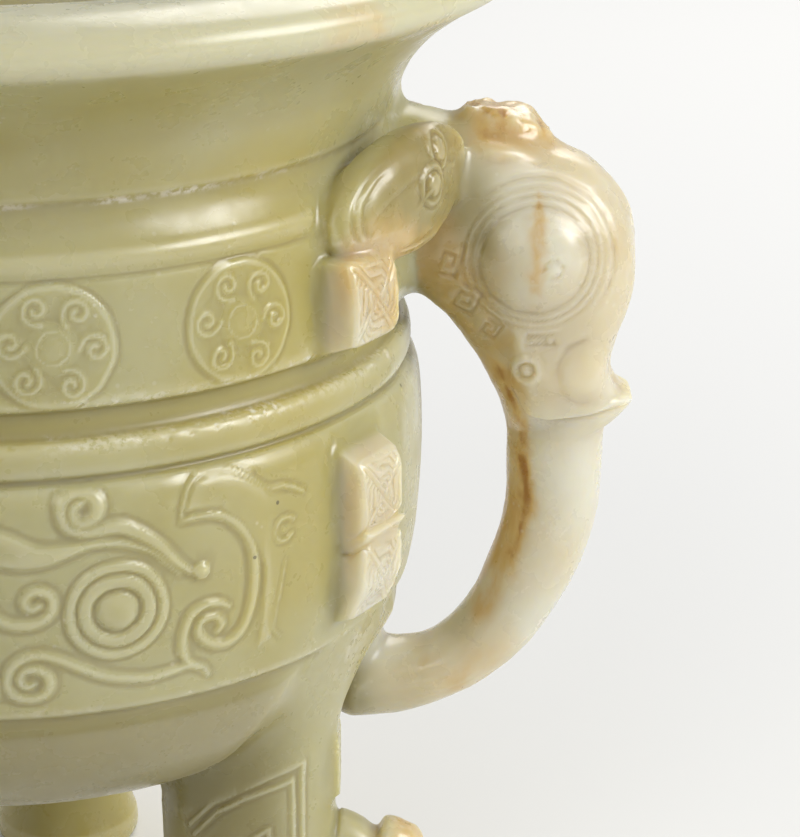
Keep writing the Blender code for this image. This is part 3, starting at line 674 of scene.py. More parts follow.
# relief on the flank of a head at (reach, height): the domed eye in its rings, the brow, the
# bulge of the upper lip with its edge over the tube, the nostril and the cut lines
def headRelief(r, z):
    ex, ez = handle["eye"]
    away = np.hypot(r - ex, z - ez)
    rim = handle["eyeRadius"]
    lift = handle["eyeRise"] * np.clip(1.0 - (away / (rim + 0.6)) ** 2, 0, 1) ** 1.15
    lift -= 0.16 * bell(away, rim - 0.2, 0.35)
    for rise, outside, wide in ((0.22, 0.8, 0.6), (-0.2, 1.3, 0.32), (0.1, 2.1, 0.5), (-0.18, 2.6, 0.32)):
        lift += rise * bell(away, rim + outside, wide)
    bearing = np.degrees(np.arctan2(z - ez, r - ex))
    front = ease(-50, -20, bearing) * fade(110, 140, bearing)
    lift -= 0.22 * bell(away, rim + 4.3, 0.45) * front
    pupil = np.hypot(r - 90.3, z - 133.8)
    lift -= 0.28 * bell(pupil, 1.55, 0.26)
    lift += 0.25 * bell(pupil, 0, 0.7)
    iris = np.hypot(r - ex - 0.6, z - ez)
    front = ease(-60, 0, bearing) * fade(60, 110, bearing)
    lift -= 0.14 * bell(iris, 7.3, 0.26) * front
    for spiral in handle["spirals"]:
        lift -= 0.3 * bell(strokeGap(squareSpiral(*spiral), r, z), 0, 0.3)
    snout = through(handle["snout"], 40)
    gap = strokeGap(snout, r, z)
    lift -= 0.22 * bell(gap, 0, 0.7)
    cheek = np.hypot((r - 97) / 1.15, z - 113.6)
    lift += 0.9 * np.clip(1.0 - (cheek / 6) ** 2, 0, 1) ** 1.5
    lipLine = 106.5 + ease(91, 86, r) + 4.0 * ease(87.5, 84, r)
    lipLine += 0.5 * ease(97, 102, r)
    over = ease(-0.35, 0.55, z - lipLine) * fade(6, 14, z - lipLine)
    lift += 1.7 * over * ease(83, 88, r)
    lift -= 0.2 * bell(z - lipLine, -0.6, 0.4) * (r > 84)
    nostril = np.hypot(r - 86.6, z - 115.8)
    for rise, outside, wide in ((0.5, 1.9, 0.7), (-0.35, 1.2, 0.35), (0.3, 0, 0.6)):
        lift += rise * bell(nostril, outside, wide)
    brow = through(handle["brow"], 40)
    lift += 0.8 * fade(-0.9, 0.7, strokeGap(brow, r, z))
    return lift


# loop handle with its beast head: rings between the inner and the outer outline, each a
# rounded square, then the relief pushed out along the flanks
def handleGrid(mirror, seed):
    rows = through(handle["pairs"], int(handle["rings"] * fine))
    turn = ringTurns(handle["sides"])
    reach0, height0, reach1, height1, wide, square = rows.T[..., None]
    x, y = boxy(np.cos(turn), 2.0 / square), boxy(np.sin(turn), 2.0 / square)
    reach = 0.5 * (reach1 + reach0) + 0.5 * (reach1 - reach0) * x
    height = 0.5 * (height1 + height0) + 0.5 * (height1 - height0) * x
    grid = np.stack([reach, wide * y, height], -1)
    normal = gridNormals(grid)
    flank = ease(0.25, 0.8, np.abs(normal[..., 1]))
    head = ease(101.5, 103.5, height)
    lift = headRelief(reach, height) * head * flank
    ridge = bell(np.abs(grid[..., 1]), 0, 1.6) * bell(reach, 103, 4) * ease(112, 120, height)
    lift += 0.35 * ridge
    lift += 0.10 * ripple(grid, 8, seed) + 0.05 * ripple(grid, 3, seed + 1)
    grid = grid + normal * lift[..., None]
    grid[..., 0] = np.minimum(grid[..., 0], 104.75)
    return grid * (mirror, 1, 1)


ear = {
    "reach": 69.4,
    "spread": 21,
    "height": 148.9,
    "turn": 53,
    "tilt": 5,
    "long": 18.7,
    "tall": 9.8,
    "thick": 5.3,
    "bosses": ((0.37, 0.64), (0.17, 0.17)),
    "farDrop": 5,            # the ears on the far side sit lower and are smaller
    "farShare": 0.86,
}


# ear laid back along the neck: a flat pebble with rim lines at its free end, soft leaf
# ridges, and two ringed bosses by the head
def earGrid(mirror, side, seed):
    lat = np.linspace(0.02, 0.98, int(84 * fine))[:, None] * np.pi
    lon = ringTurns(140)
    ring = np.sin(lat) ** 0.85
    p = ring * np.cos(lon) * ear["long"]
    q = ring * np.sin(lon) * ear["tall"]
    n = boxy(np.cos(lat), 0.8) * ear["thick"] + 0.0 * lon
    n = n * (1.0 - 0.62 * ease(2, 17, p))      # thinner where it joins the head
    q = q * (1.0 + 0.10 * np.cos(lon)) + 0.9 * np.cos(lon)
    share = np.sqrt((p / ear["long"]) ** 2 + (q / ear["tall"]) ** 2)
    free = ease(4, -8, p * 0.9 + q * 0.8)
    lift = np.zeros(p.shape)
    for line in (0.93, 0.83, 0.73):
        lift -= 0.17 * bell(share, line, 0.024) * free
    for line in (0.88, 0.78):
        lift += 0.10 * bell(share, line, 0.03) * free
    bulge = np.sqrt(np.clip(1.0 - (p / 13.5) ** 2, 0.01, 1))
    leaf = np.abs(q + 1.0 - 0.12 * (p - 4)) / (5.2 * bulge)
    lift -= 0.15 * bell(leaf, 1, 0.10) * (np.abs(p) < 12)
    lift += 0.20 * bell(leaf, 0, 0.35) * ease(9, 2, p) * (p > -12)
    for along, up in ear["bosses"]:
        away = np.hypot(p - along * ear["long"], q - up * ear["tall"])
        lift = np.where(away < 3.9, 0, lift)
        lift += 0.8 * cap(away, 2)
        for rise, outside, wide in ((0.25, 3, 0.5), (-0.16, 3.8, 0.35), (-0.16, 2.2, 0.3)):
            lift += rise * bell(away, outside, wide)
    n = n + lift * (n > 0) * ease(0, 1.2, n)
    spread, turn, tilt = (math.radians(ear[k]) for k in ("spread", "turn", "tilt"))
    out, flank, up = np.array([1, 0, 0]), np.array([0, 1.0 * side, 0]), np.array([0, 0, 1.0])
    level = out * math.cos(turn) - flank * math.sin(turn)
    longWay = level * math.cos(tilt) + up * math.sin(tilt)
    tallWay = up * math.cos(tilt) - level * math.sin(tilt)
    thinWay = out * math.sin(turn) + flank * math.cos(turn)
    share = ear["farShare"] if side > 0 else 1.0
    lower = ear["farDrop"] if side > 0 else 0.0
    middle = (out * math.cos(spread) + flank * math.sin(spread)) * ear["reach"]
    middle += up * (ear["height"] - lower)
    grid = middle + (p * share)[..., None] * longWay + (q * share)[..., None] * tallWay
    grid = grid + n[..., None] * thinWay
    grid = grid + 0.12 * ripple(grid, 6, seed)[..., None] * thinWay
    return grid * (mirror, 1, 1)


# worn crest on top of a head: a low ridge of half-round rings, made jagged by unevenness of
# two sizes
def crestGrid(mirror, seed):
    line = through(handle["crest"], int(70 * fine))
    turn = ringTurns(72)
    up = np.cos(turn)
    reach, height = ringsAlong(line, up)
    ends = np.sqrt(np.clip(1.0 - np.linspace(-1, 1, len(line)) ** 4, 0.05, 1))[:, None]
    wide = 6.6 * ends * boxy(np.sin(turn), 0.7)
    grid = np.stack([reach, wide, height], -1)
    jag = 0.85 * ripple(grid * (0.8, 0.5, 1.3), 5, seed) + 0.22 * ripple(grid, 2.2, seed + 1)
    jag += 0.45 * np.abs(ripple(grid * (1, 0.5, 2), 5, seed + 2))
    normal = gridNormals(grid)
    grid = grid + normal * (jag * ease(-0.2, 0.6, up))[..., None]
    grid[..., 2] = np.minimum(grid[..., 2], handle["crestTop"])
    return grid * (mirror, 1, 1)


leg = {
    # (place, facing) in degrees from the front
    "places": ((60, 90), (-60, -90), (180, 180)),
    "circle": 45.8,
    "shaft": 14.8,
    # (radius, height) of the column
    "side": [(12.2, 0), (13.2, 0.35), (13.6, 1.3), (13.6, 4.2), (13.1, 5.6), (12.5, 9),
             (12, 15), (12.2, 21), (13.2, 27), (14.3, 31), (14.8, 37), (14.8, 46),
             (14.8, 50), (15.3, 56.5), (16.1, 62), (17.3, 67.5), (18.9, 73.5)],
    # (reach, height, turn, half tall, half wide) from the leg's axis
    "snout": [(9, 33, 90, 5.9, 5), (14.5, 33.2, 90, 6.1, 5), (16.2, 33.3, 90, 6.2, 5),
              (18.9, 33, 86, 4.9, 4.8), (21.6, 32.2, 88, 4, 4.5), (23.6, 33.6, 96, 4.4, 4.4),
              (25.8, 34, 104, 4.1, 4.2), (27.6, 34.6, 116, 3, 3.6), (28.9, 35.4, 128, 1.4, 2.2)],
    # the pad above the snout: (reach, foot, top, width) from the leg's axis
    "pad": (15.7, 44.5, 57.2, 10.8),
    # raised lines of a slanting bracket: (degrees from the facing, height, half width)
    "brackets": [[(128, 43.5, 0.3), (110, 48.6, 0.35), (93, 51.3, 0.4), (72, 53.6, 0.4),
                  (50, 54.9, 0.4), (49.8, 50, 0.4), (49.7, 44, 0.35), (49.7, 34, 0.25)],
                 [(125, 41.8, 0.25), (108, 46.9, 0.3), (90, 49.6, 0.3), (74, 51, 0.3),
                  (57.5, 51.9, 0.3), (57.3, 47, 0.3), (57.2, 40, 0.3), (57.2, 34, 0.2)],
                 [(102, 38, 0.25), (88, 41.8, 0.3), (74.4, 43.8, 0.3), (74.2, 40, 0.3),
                  (74.2, 34.5, 0.25)]],
}


# column of a leg: a turned profile about its own axis, with the raised bracket lines folded
# about the side that it faces and a shallow line cut beside each
def legGrid(place, facing, seed):
    line = through(leg["side"], 500)
    rows = pickRows(line, lambda height, radius: np.where(height > 33, 0.5, 0.9)
                    + 0.4 * (height > 60))
    turn, radius, height = turned(rows, 200)
    turn = turn - 180.0
    scale = math.pi / 180.0 * leg["shaft"]
    for path in leg["brackets"]:
        gap = strokeGap(np.array(path) * (scale, 1, 1), np.abs(turn) * scale, height)
        radius += 0.34 * fade(-0.35, 0.35, gap) - 0.16 * bell(gap, 0.6, 0.35)
    local = aroundAxis(turn + facing, radius, height)
    local += 0.12 * ripple(local, 9, seed)[..., None] * outward(turn + facing)
    local[..., 2] = np.where(height < 0.5, height, local[..., 2])
    return local + outward(np.array(place)) * leg["circle"]


# trunk curled up from the side that a leg faces: rings whose tall axis turns along the curl
def snoutGrid(place, facing, seed):
    rows = through(leg["snout"], int(80 * fine))
    turn = ringTurns(64)
    x, y = boxy(np.cos(turn), 0.85), boxy(np.sin(turn), 0.85)
    tilt = np.radians(rows[:, 2:3])
    reach = rows[:, :1] + np.cos(tilt) * rows[:, 3:4] * x
    height = rows[:, 1:2] + np.sin(tilt) * rows[:, 3:4] * x
    wide = rows[:, 4:5] * y
    grid = onSide(facing, reach, wide, height)
    normal = gridNormals(grid)
    lift = 0.12 * ripple(grid, 5, seed)
    nostril = np.hypot(reach - 26.6, height - 35.5)
    lift = lift - 0.4 * bell(nostril, 0, 0.8) * (np.abs(wide) > 2.5)
    return grid + normal * lift[..., None] + outward(np.array(place)) * leg["circle"]


def legSkins():
    def padReach(height):
        return leg["pad"][0] - 0.5 * ease(54, 57.5, height)

    columns, snouts, pads = [], [], []
    for seed, (place, facing) in enumerate(leg["places"]):
        columns.append(skin(legGrid(place, facing, 40 + seed)))
        snouts.append(skin(snoutGrid(place, facing, 50 + seed)))
        middle = outward(np.array(place)) * leg["circle"]
        pads.append(skin(blockGrid(facing, 9, leg["pad"], padReach, lambda out, v: 0.0 * out,
                                   60 + seed, middle)))
    return columns, snouts, pads


carving = {
    # fillets at the joints: (edges from the seam, passes, strength)
    "wide": (15, 170, 0.8),
    "narrow": (7, 60, 0.7),
    "triangles": 194000,
    "cavitySteps": 5,
}


def joinAll():
    def change(operation, cutter):
        step = start.modifiers.new(cutter.name, "BOOLEAN")
        step.operation = operation
        step.solver = "MANIFOLD"
        step.object = cutter

    start = newObject("vessel", *skin(bodyGrid(), (0, 0, body["foot"]), (0, 0, 188.2)))
    print("body", len(start.data.polygons))
    sets = flangeSkins()
    columns, snouts, pads = legSkins()
    handles = [skin(handleGrid(1, 70)), skin(handleGrid(-1, 75))]
    corners = ((1, 1), (1, -1), (-1, 1), (-1, -1))
    ears = [skin(earGrid(*corner, 80 + index)) for index, corner in enumerate(corners)]
    crests = [skin(crestGrid(1, 90)), skin(crestGrid(-1, 95))]
    groups = [columns + handles, snouts + ears + sets["upper"],
              pads + crests + sets["lower"] + sets["neck"], sets["tongue"]]
    number, cutters = 0, []
    for order, group in enumerate(groups):
        numbered = list(enumerate(group, number + 1))      # 1 to 5: the legs and the handles
        number += len(group)
        cutters.append(newObject("part%d" % order, *together(numbered)))
        print("group", order, len(cutters[-1].data.polygons))
        change("UNION", cutters[-1])
    cutters.append(newObject("hollow", *skin(cavityGrid(), (0, 0, cavity["floor"]), (0, 0, 192))))
    change("DIFFERENCE", cutters[-1])
    done = bpy.data.meshes.new_from_object(start.evaluated_get(bpy.context.evaluated_depsgraph_get()))
    for cutter in cutters:
        bpy.data.objects.remove(cutter, do_unlink=True)
    start.modifiers.clear()
    start.data = done
    print("joined", len(done.vertices), len(done.polygons))
    return start


# mean of the neighbours of each vertex, for any array of values
def neighbourMean(values, edges, count):
    flat = values.reshape(len(values), -1)
    total = np.empty_like(flat)
    degree = np.maximum(np.bincount(edges.ravel(), minlength=count), 1)
    for column in range(flat.shape[1]):
        total[:, column] = (np.bincount(edges[:, 0], flat[edges[:, 1], column], count)
                            + np.bincount(edges[:, 1], flat[edges[:, 0], column], count)) / degree
    return total.reshape(values.shape)


# true at the ends of each edge whose two triangles come from different skins: one list for
# the legs' and handles' joints with the body, one for all others
def findSeams(mesh, count):
    mesh.calc_loop_triangles()
    total = len(mesh.loop_triangles)
    tris = readRows(mesh.loop_triangles, "vertices", 3, np.int32)
    polygon = readRows(mesh.loop_triangles, "polygon_index", 1, np.int32).ravel()
    owner = readRows(mesh.attributes["owner"].data, "value", 1, np.int32).ravel()[polygon]
    sides = np.sort(np.vstack([tris[:, [0, 1]], tris[:, [1, 2]], tris[:, [2, 0]]]), axis=1)
    face = np.tile(np.arange(total), 3)
    key = sides[:, 0].astype(np.int64) * count + sides[:, 1]
    order = np.argsort(key, kind="stable")
    key, face, sides = key[order], face[order], sides[order]
    same = np.nonzero(key[1:] == key[:-1])[0]
    a, b = owner[face[same]], owner[face[same + 1]]
    wide = (a != b) & (np.minimum(a, b) == 0) & (np.maximum(a, b) <= 5)
    marked = []
    for chosen in (wide, (a != b) & ~wide):
        seam = np.zeros(count, bool)
        seam[sides[same][chosen].ravel()] = True
        marked.append(seam)
    return marked


# 1 on the marked vertices, falling evenly to 0 at that many edges away
def nearSeam(marked, edges, reach):
    hop = np.where(marked, 0, reach)
    for step in range(1, reach):
        lit = hop < step
        touched = np.zeros(len(marked), bool)
        touched[edges[lit[edges[:, 1]], 0]] = True
        touched[edges[lit[edges[:, 0]], 1]] = True
        hop = np.where(touched & (hop == reach), step, hop)
    return 1.0 - hop / reach


# a soft fillet along the joints: each vertex near a seam moves again and again towards the
# mean of its neighbours, by its nearness to the seam
def softenSeams(mesh):
    points = readRows(mesh.vertices, "co", 3).astype(float) / mm
    edges = readRows(mesh.edges, "vertices", 2, np.int32)
    count = len(points)
    for name, marked in zip(("wide", "narrow"), findSeams(mesh, count)):
        reach, passes, strength = carving[name]
        marked &= points[:, 2] < 186.0
        weight = strength * nearSeam(marked, edges, max(3, int(reach * fine)))
        busy = edges[(weight[edges] > 0).any(axis=1)]
        print("seam", name, int(marked.sum()), len(busy))
        for _ in range(int(passes * fine)):
            points += weight[:, None] * (neighbourMean(points, busy, count) - points)
    mesh.attributes.remove(mesh.attributes["owner"])
    mesh.vertices.foreach_set("co", (points * mm).astype(np.float32).ravel())
    mesh.update()
    return points, edges


paint = {
    # strokes of (reach, height, half width) on the flanks of the handles
    "vein": [(66, 131, 1.4), (72, 127, 2), (77, 121, 2.6), (81.4, 114, 2.2),
             (84, 106, 1.9), (84.8, 98, 1.7), (85.2, 90, 1.9), (84.2, 82, 1.6),
             (82, 74, 1.1), (79, 68, 0.8)],
    "thread": [(80.6, 119, 0.1), (83.4, 111, 0.3), (86, 104, 0.25), (86.3, 98, 0.35),
               (87, 92, 0.5), (86.6, 86, 0.2), (85, 80, 0.15)],
    "streak": [(88.2, 144.5, 0.2), (87.8, 139.5, 0.9), (87.5, 134, 0.9), (87.4, 129, 0.2)],
    # painted shade: the stroke of the throats below the ears
    "throatShade": [(62, 142, 6), (68, 137, 7), (75, 131, 6), (79.5, 120, 3.5)],
    # bruised ridges of the body: (height, half width, share)
    "ridges": [(121.7, 0.9, 1), (128, 0.7, 0.8), (157.6, 0.7, 0.7), (78.7, 0.6, 0.5)],
}


# values for the finish at each vertex: how hollow it is, where wear and stains lie, and where shade, sheen
# and light are painted
def paintValues(points, edges, normals):
    count = len(points)
    smooth = points.copy()
    for _ in range(carving["cavitySteps"]):
        smooth = neighbourMean(smooth, edges, count)
    hollow = ((smooth - points) * normals).sum(1)
    reach = np.abs(points[:, 0])
    side = np.abs(points[:, 1])
    height = points[:, 2]
    radius = np.hypot(points[:, 0], points[:, 1])
    stainAndPaintedLight = np.zeros(count)
    onHandle = ease(70, 80, reach) * fade(15, 20, side)
    # the ears: less cream, a little brown and the dark olive, partly their own brownish tone and partly
    # painted shade
    earPart = ease(68, 71, radius) * (height < 160) * (height > 136) * (reach > 40)
    earPart *= fade(34, 40, side) * ease(9, 14, side)
    earPart *= fade(78, 84, reach)
    onHandle = np.maximum(onHandle * (1.0 - 0.9 * earPart), 0.06 * earPart)
    root = ease(67, 71.5, radius) * (height < 64) * (height > 46) * (reach > 55)
    onHandle = np.maximum(onHandle, root)
    gap = strokeGap(through(paint["vein"], 60), reach, height, 9)
    gap += 1.3 * ripple(points, 6, 21) + 0.5 * ripple(points, 2, 28)
    stainAndPaintedLight = np.maximum(stainAndPaintedLight, 0.62 * fade(-1.5, 3, gap))
    gap = strokeGap(through(paint["thread"], 50), reach, height, 4) + 0.5 * ripple(points, 3, 29)
    stainAndPaintedLight = np.maximum(stainAndPaintedLight, 1.0 - ease(-0.3, 0.9, gap))
    streak = strokeGap(np.array(paint["streak"]), reach, height, 6) + 0.7 * ripple(points, 2.6, 22)
    stainAndPaintedLight = np.maximum(stainAndPaintedLight, 0.8 * fade(-0.6, 1.3, streak) * (side > 6))
    # painted shade: the throats below the ears and the cheeks beside them made darker and browner, with
    # less cream
    gap = strokeGap(np.array(paint["throatShade"]), reach, height, 9) + 1.2 * ripple(points, 9, 27)
    throatShade = fade(-2, 4, gap) * (radius > 69)
    onHandle *= 1.0 - 0.6 * throatShade
    peach = 0.26 * ease(92, 101, reach) * ease(128, 138, height)
    peach = np.maximum(peach, 0.22 * bell(reach, 78, 12) * bell(height, 60, 9))
    stainAndPaintedLight = np.maximum(stainAndPaintedLight, peach * ease(-0.5, 0.6, ripple(points, 12, 30)))
    crest = ease(151.5, 154.5, height) * ease(70, 75, reach) * (side < 11) * (reach < 95)
    stainAndPaintedLight = np.maximum(stainAndPaintedLight, (0.55 + 0.4 * ripple(points, 5, 32)) * crest)
    stainAndPaintedLight = np.maximum(stainAndPaintedLight, 0.5 * ease(62, 66, reach) * bell(height, 154, 4) * onHandle)
    low = bell(height, 56, 6) * ease(64, 70, reach)
    low *= fade(84, 90, reach) * ease(-0.2, 0.6, ripple(points, 9, 23))
    stainAndPaintedLight = np.maximum(stainAndPaintedLight, 0.45 * low)
    # painted shade: brown on the ears and the throats, taken in with the real stains
    stainAndPaintedLight = np.maximum(stainAndPaintedLight * onHandle, np.maximum(0.16 * earPart, 0.42 * throatShade))
    beside = (np.abs(side - 38.5) < 9) & (reach > 50)
    onBelly = ease(69.4, 71.4, radius) * (height > 80) * (height < 115)
    onNeck = ease(67.3, 69.5, radius) * (height < 145.5)
    blocks = beside * np.where(height > 125, onNeck, onBelly)
    snoutTip = ease(62.5, 66, np.maximum(reach, points[:, 1] + 5)) * (height < 43)
    # painted light: the back leg, which lies in shade, made brighter with ochre; partly its warmer tone
    backLegOchreAndLight = ease(20, 32, points[:, 1]) * ease(20, 38, height) * (height < 66)
    lipRun = np.maximum(bell(points[:, 0], 62, 7) * ease(176, 181, height),
                        bell(points[:, 0], 56.5, 1.6) * ease(172, 180, height))
    lipRun *= (points[:, 1] < 0) * ease(-0.4, 0.5, ripple(points * (1, 1, 0.3), 5, 24))
    for spot in (0.16 * blocks, 0.5 * snoutTip, 0.42 * backLegOchreAndLight, 0.4 * lipRun):
        stainAndPaintedLight = np.maximum(stainAndPaintedLight, spot)
    around = np.degrees(np.arctan2(reach, side))
    patches = ease(-0.2, 0.4, ripple(points, 20, 11) + 0.5 * bell(around, 46, 20))
    patches *= ease(0, 0.6, ripple(points, 2.4, 12))
    worn = sum(share * bell(height, middle, wide) for middle, wide, share in paint["ridges"])
    worn = worn * (radius > 61) * (radius < 70) * patches
    waist = bell(height, 157.4, 0.45) * (radius < 66) * ease(-0.1, 0.5, ripple(points, 9, 31))
    worn = np.maximum(worn, 0.8 * waist)
    root = np.exp(-((reach - 58) ** 2 / 24.0 + (side - 26) ** 2 / 60.0 + (height - 73.5) ** 2 / 12))
    worn = np.maximum(worn, 1.4 * root * ease(-0.2, 0.5, ripple(points, 3.5, 26)))
    # painted sheen: the rim and the top of its flare paler, standing in for the softbox's reflection
    lipSheen = ease(179, 181, height) * ease(66, 72, radius)
    lowRoot = ease(54, 64, reach) * fade(9, 15, side)
    for spot in (0.8 * lowRoot * (height > 44) * (height < 72), 0.85 * blocks,
                 0.5 * ease(58, 62, reach) * (height < 44)):
        onHandle = np.maximum(onHandle, spot)
    # painted shade: darker, greener olive below the bowl's lowest ridge, less near the legs and on the far
    # side; the throats and the ears take it too
    oliveAndShade = fade(74, 79.5, height) * (1.0 - onHandle) * ease(20, 45, height)
    oliveAndShade *= (1.0 - 0.85 * ease(40, 52, reach) * (side > 10))
    oliveAndShade *= (1.0 - 0.75 * ease(8, 28, points[:, 1]))
    oliveAndShade = np.maximum(oliveAndShade, np.maximum(earPart, 0.95 * throatShade * (reach < 84)))
    warm = bell(around, 46, 13) * ease(82, 92, height) * fade(158, 172, height)
    warm = np.maximum(warm * (1.0 - blocks), 0.8 * ease(20, 32, points[:, 1]) * (height < 66))
    warm = np.maximum(warm, 0.8 * bell(height, 124.3, 2.2) * (radius < 68))
    return {"hollow": np.clip(hollow / 0.12, -1, 1), "stainAndPaintedLight": stainAndPaintedLight, "worn": np.clip(worn, 0, 1),
            "handle": onHandle, "lipSheen": lipSheen, "oliveAndShade": oliveAndShade, "warm": warm * (1.0 - onHandle)}


def finishMesh(vessel):
    mesh = vessel.data
    points, edges = softenSeams(mesh)
    normals = readRows(mesh.vertex_normals, "vector", 3).astype(float)
    for name, values in paintValues(points, edges, normals).items():
        layer = mesh.attributes.new(name, "FLOAT", "POINT")
        layer.data.foreach_set("value", values.astype(np.float32))
    layer = mesh.attributes.new("fineNormal", "FLOAT_VECTOR", "POINT")
    layer.data.foreach_set("vector", normals.astype(np.float32).ravel())
    mesh.calc_loop_triangles()
    total = len(mesh.loop_triangles)
    want = carving["triangles"] * 1
    if total > want:
        change = vessel.modifiers.new("thin", "DECIMATE")
        change.ratio = want / total
        thin = bpy.data.meshes.new_from_object(vessel.evaluated_get(bpy.context.evaluated_depsgraph_get()))
        vessel.modifiers.clear()
        vessel.data = thin
    mesh = vessel.data
    mesh.shade_smooth()
    layer = mesh.attributes["fineNormal"]
    normals = readRows(layer.data, "vector", 3)
    own = readRows(mesh.vertex_normals, "vector", 3)
    good = (normals * own).sum(1) > 0.5
    normals = np.where(good[:, None], normals, own)
    normals /= np.linalg.norm(normals, axis=1, keepdims=True) + 1e-9
    mesh.attributes.remove(layer)
    mesh.normals_split_custom_set_from_vertices(normals.tolist())
    print("finished mesh", len(mesh.vertices), len(mesh.polygons))


jade = {
    "belly": (0.430, 0.400, 0.205, 1),
    "deep": (0.380, 0.330, 0.110, 1),
    "pale": (0.520, 0.505, 0.340, 1),
    # dark olive of the painted shade below the bowl, on the throats and partly on the ears
    "oliveAndShade": (0.225, 0.185, 0.055, 1),
    "cream": (0.640, 0.560, 0.390, 1),
    "milk": (0.680, 0.660, 0.560, 1),
    "warm": (0.410, 0.345, 0.095, 1),
    "ochre": (0.560, 0.380, 0.130, 1),
    "rust": (0.330, 0.150, 0.025, 1),
    "white": (0.780, 0.760, 0.690, 1),
    # darker colour for the cut lines and hollows
    "hollowDark": (0.260, 0.190, 0.060, 1),
    "speck": (0.080, 0.060, 0.035, 1),
    "roughness": 0.27,
    "glow": 1,
    "glowDepth": 0.009,
}


class Nodes:
    def __init__(self, tree):
        self.tree = tree

    def add(self, kind, **values):
        node = self.tree.nodes.new(kind)
        for name, value in values.items():
            setattr(node, name, value)
        return node

    def link(self, a, b):
        self.tree.links.new(a, b)

    def noise(self, where, scale, detail=3, rough=0.5, stretch=None):
        if stretch is not None:
            mapping = self.add("ShaderNodeMapping")
            mapping.inputs["Scale"].default_value = stretch
            self.link(where, mapping.inputs["Vector"])
            where = mapping.outputs["Vector"]
        node = self.add("ShaderNodeTexNoise")
        node.inputs["Scale"].default_value = scale
        node.inputs["Detail"].default_value = detail
        node.inputs["Roughness"].default_value = rough
        self.link(where, node.inputs["Vector"])
        return node.outputs["Fac"]

    def ramp(self, value, low, high, toLow=0, toHigh=1):
        node = self.add("ShaderNodeMapRange", interpolation_type="SMOOTHSTEP")
        for name, number in (("From Min", low), ("From Max", high), ("To Min", toLow), ("To Max", toHigh)):
            node.inputs[name].default_value = number
        self.link(value, node.inputs["Value"])
        return node.outputs["Result"]

    # a link into the socket, or a fixed value on it
    def feed(self, value, socket):
        if isinstance(value, (int, float, tuple)):
            socket.default_value = value
        else:
            self.link(value, socket)

    def math(self, kind, a, b):
        node = self.add("ShaderNodeMath", operation=kind)
        self.feed(a, node.inputs[0])
        self.feed(b, node.inputs[1])
        return node.outputs[0]

    def mix(self, share, a, b):
        node = self.add("ShaderNodeMix", data_type="RGBA")
        for value, socket in ((share, 0), (a, 6), (b, 7)):
            self.feed(value, node.inputs[socket])
        return node.outputs[2]

    def value(self, name):
        return self.add("ShaderNodeAttribute", attribute_name=name).outputs["Fac"]

    # 1 near the middles of scattered cells, 0 beyond the edge
    def spots(self, where, scale, edge, full):
        node = self.add("ShaderNodeTexVoronoi")
        node.inputs["Scale"].default_value = scale
        self.link(where, node.inputs["Vector"])
        return self.ramp(node.outputs["Distance"], edge, full)


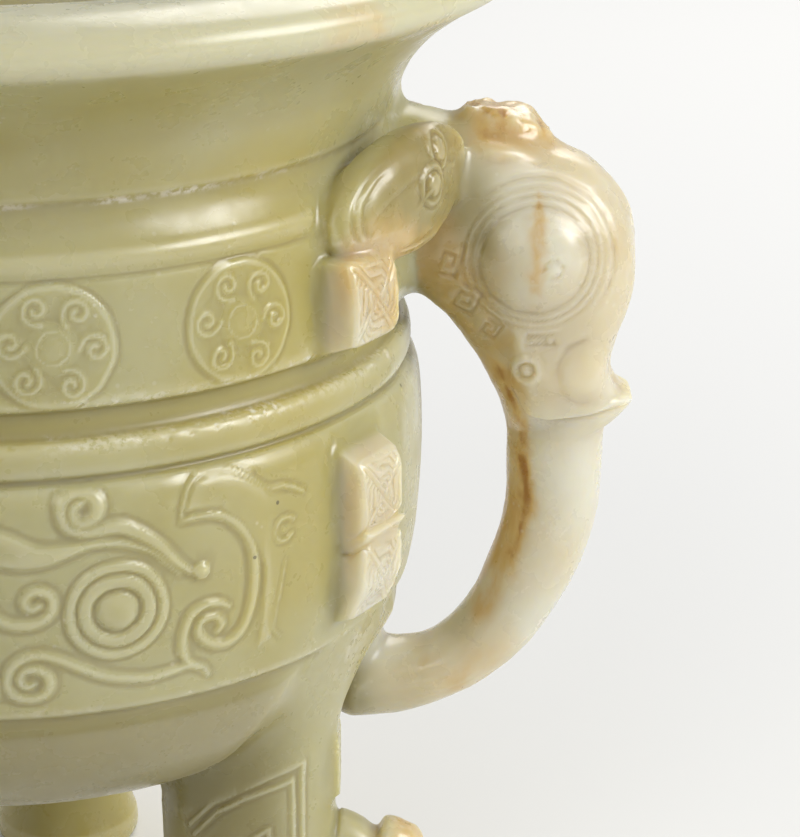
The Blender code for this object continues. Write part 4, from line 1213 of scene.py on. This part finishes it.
# polished nephrite: clouded yellow-green, creamy on the handles, russet veins where the stone's skin was
# left, fine white bruises on worn edges, darker cut lines; painted shade below the bowl, on the throats
# and partly on the ears, painted light on the back leg, a painted sheen on the rim
def makeJade():
    material = bpy.data.materials.new("jade carved")
    material.use_nodes = True
    n = Nodes(material.node_tree)
    shader = material.node_tree.nodes["Principled BSDF"]
    where = n.add("ShaderNodeTexCoord").outputs["Object"]
    cloud = n.noise(where, 26, 2, 0.45)
    haze = n.noise(where, 11, 2, 0.5)
    colour = n.mix(n.ramp(cloud, 0.36, 0.66), jade["belly"], jade["deep"])
    colour = n.mix(n.ramp(haze, 0.42, 0.64, 0, 0.55), colour, jade["pale"])
    creamy = n.mix(n.ramp(n.noise(where, 38, 2), 0.38, 0.66), jade["cream"], jade["milk"])
    # mixes: painted shade in dark olive below the bowl, on the throats and partly on the ears; warm tone;
    # a painted sheen in pale on the rim; cream on the handles
    for name, share, tint in (("oliveAndShade", 0.85, jade["oliveAndShade"]), ("warm", 0.8, jade["warm"]),
                              ("lipSheen", 0.8, jade["pale"]), ("handle", 0.88, creamy)):
        colour = n.mix(n.math("MULTIPLY", n.value(name), share), colour, tint)
    grain = n.noise(where, 210, 5, 0.62, (1, 1, 0.35))
    # stains, with painted shade on the throats and ears and painted light on the back leg
    tinted = n.math("MULTIPLY", n.value("stainAndPaintedLight"), n.ramp(grain, 0.30, 0.62, 0.6, 1.15))
    colour = n.mix(n.ramp(tinted, 0, 0.7, 0, 0.9), colour, jade["ochre"])
    colour = n.mix(n.ramp(tinted, 0.55, 1.1, 0, 0.9), colour, jade["rust"])
    hollow = n.value("hollow")
    # darker in the cut lines and hollows
    hollowMix = n.ramp(hollow, 0.15, 0.95, 0, 0.20)
    colour = n.mix(hollowMix, colour, jade["hollowDark"])
    raised = n.ramp(hollow, -0.2, -0.95, 0, 0.12)
    colour = n.mix(raised, colour, jade["white"])
    worn = n.math("MULTIPLY", n.value("worn"), n.ramp(n.noise(where, 900, 3, 0.6), 0.38, 0.6))
    colour = n.mix(worn, colour, jade["white"])
    rare = n.ramp(n.noise(where, 65, 2), 0.56, 0.68)
    fleck = n.math("MULTIPLY", n.spots(where, 420, 0.20, 0.08), rare)
    colour = n.mix(n.math("MULTIPLY", fleck, 0.22), colour, jade["white"])
    few = n.ramp(n.noise(where, 47, 1), 0.60, 0.66)
    speck = n.math("MULTIPLY", n.spots(where, 130, 0.055, 0.035), few)
    colour = n.mix(n.math("MULTIPLY", speck, 0.7), colour, jade["speck"])
    n.link(colour, shader.inputs["Base Color"])

    polish = jade["roughness"]
    rough = n.ramp(n.noise(where, 120, 4, 0.6), 0.3, 0.7, polish - 0.06, polish + 0.10)
    for layer in (worn, hollowMix):
        rough = n.math("ADD", rough, n.math("MULTIPLY", layer, 0.35))
    n.link(rough, shader.inputs["Roughness"])

    scratch = n.noise(where, 700, 2, 0.5, (1, 1, 0.3))
    dimple = n.noise(where, 230, 4, 0.55)
    relief = n.math("MULTIPLY", scratch, 0.25)
    for layer, share in ((dimple, 0.6), (fleck, -0.25), (worn, -0.9)):
        relief = n.math("ADD", relief, n.math("MULTIPLY", layer, share))
    bump = n.add("ShaderNodeBump")
    bump.inputs["Strength"].default_value = 0.08
    bump.inputs["Distance"].default_value = 0.0004
    n.link(relief, bump.inputs["Height"])
    n.link(bump.outputs["Normal"], shader.inputs["Normal"])

    shader.inputs["IOR"].default_value = 1.6
    shader.inputs["Subsurface Weight"].default_value = jade["glow"]
    shader.inputs["Subsurface Radius"].default_value = (1, 0.85, 0.45)
    shader.inputs["Subsurface Scale"].default_value = jade["glowDepth"]
    return material


vessel = joinAll()
finishMesh(vessel)
vessel.data.materials.clear()
vessel.data.materials.append(makeJade())
vessel.data.name = "vessel carved"
vessel.name = "vessel_carved"
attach(vessel, "root")
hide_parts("vessel")
print("jade on the vessel")
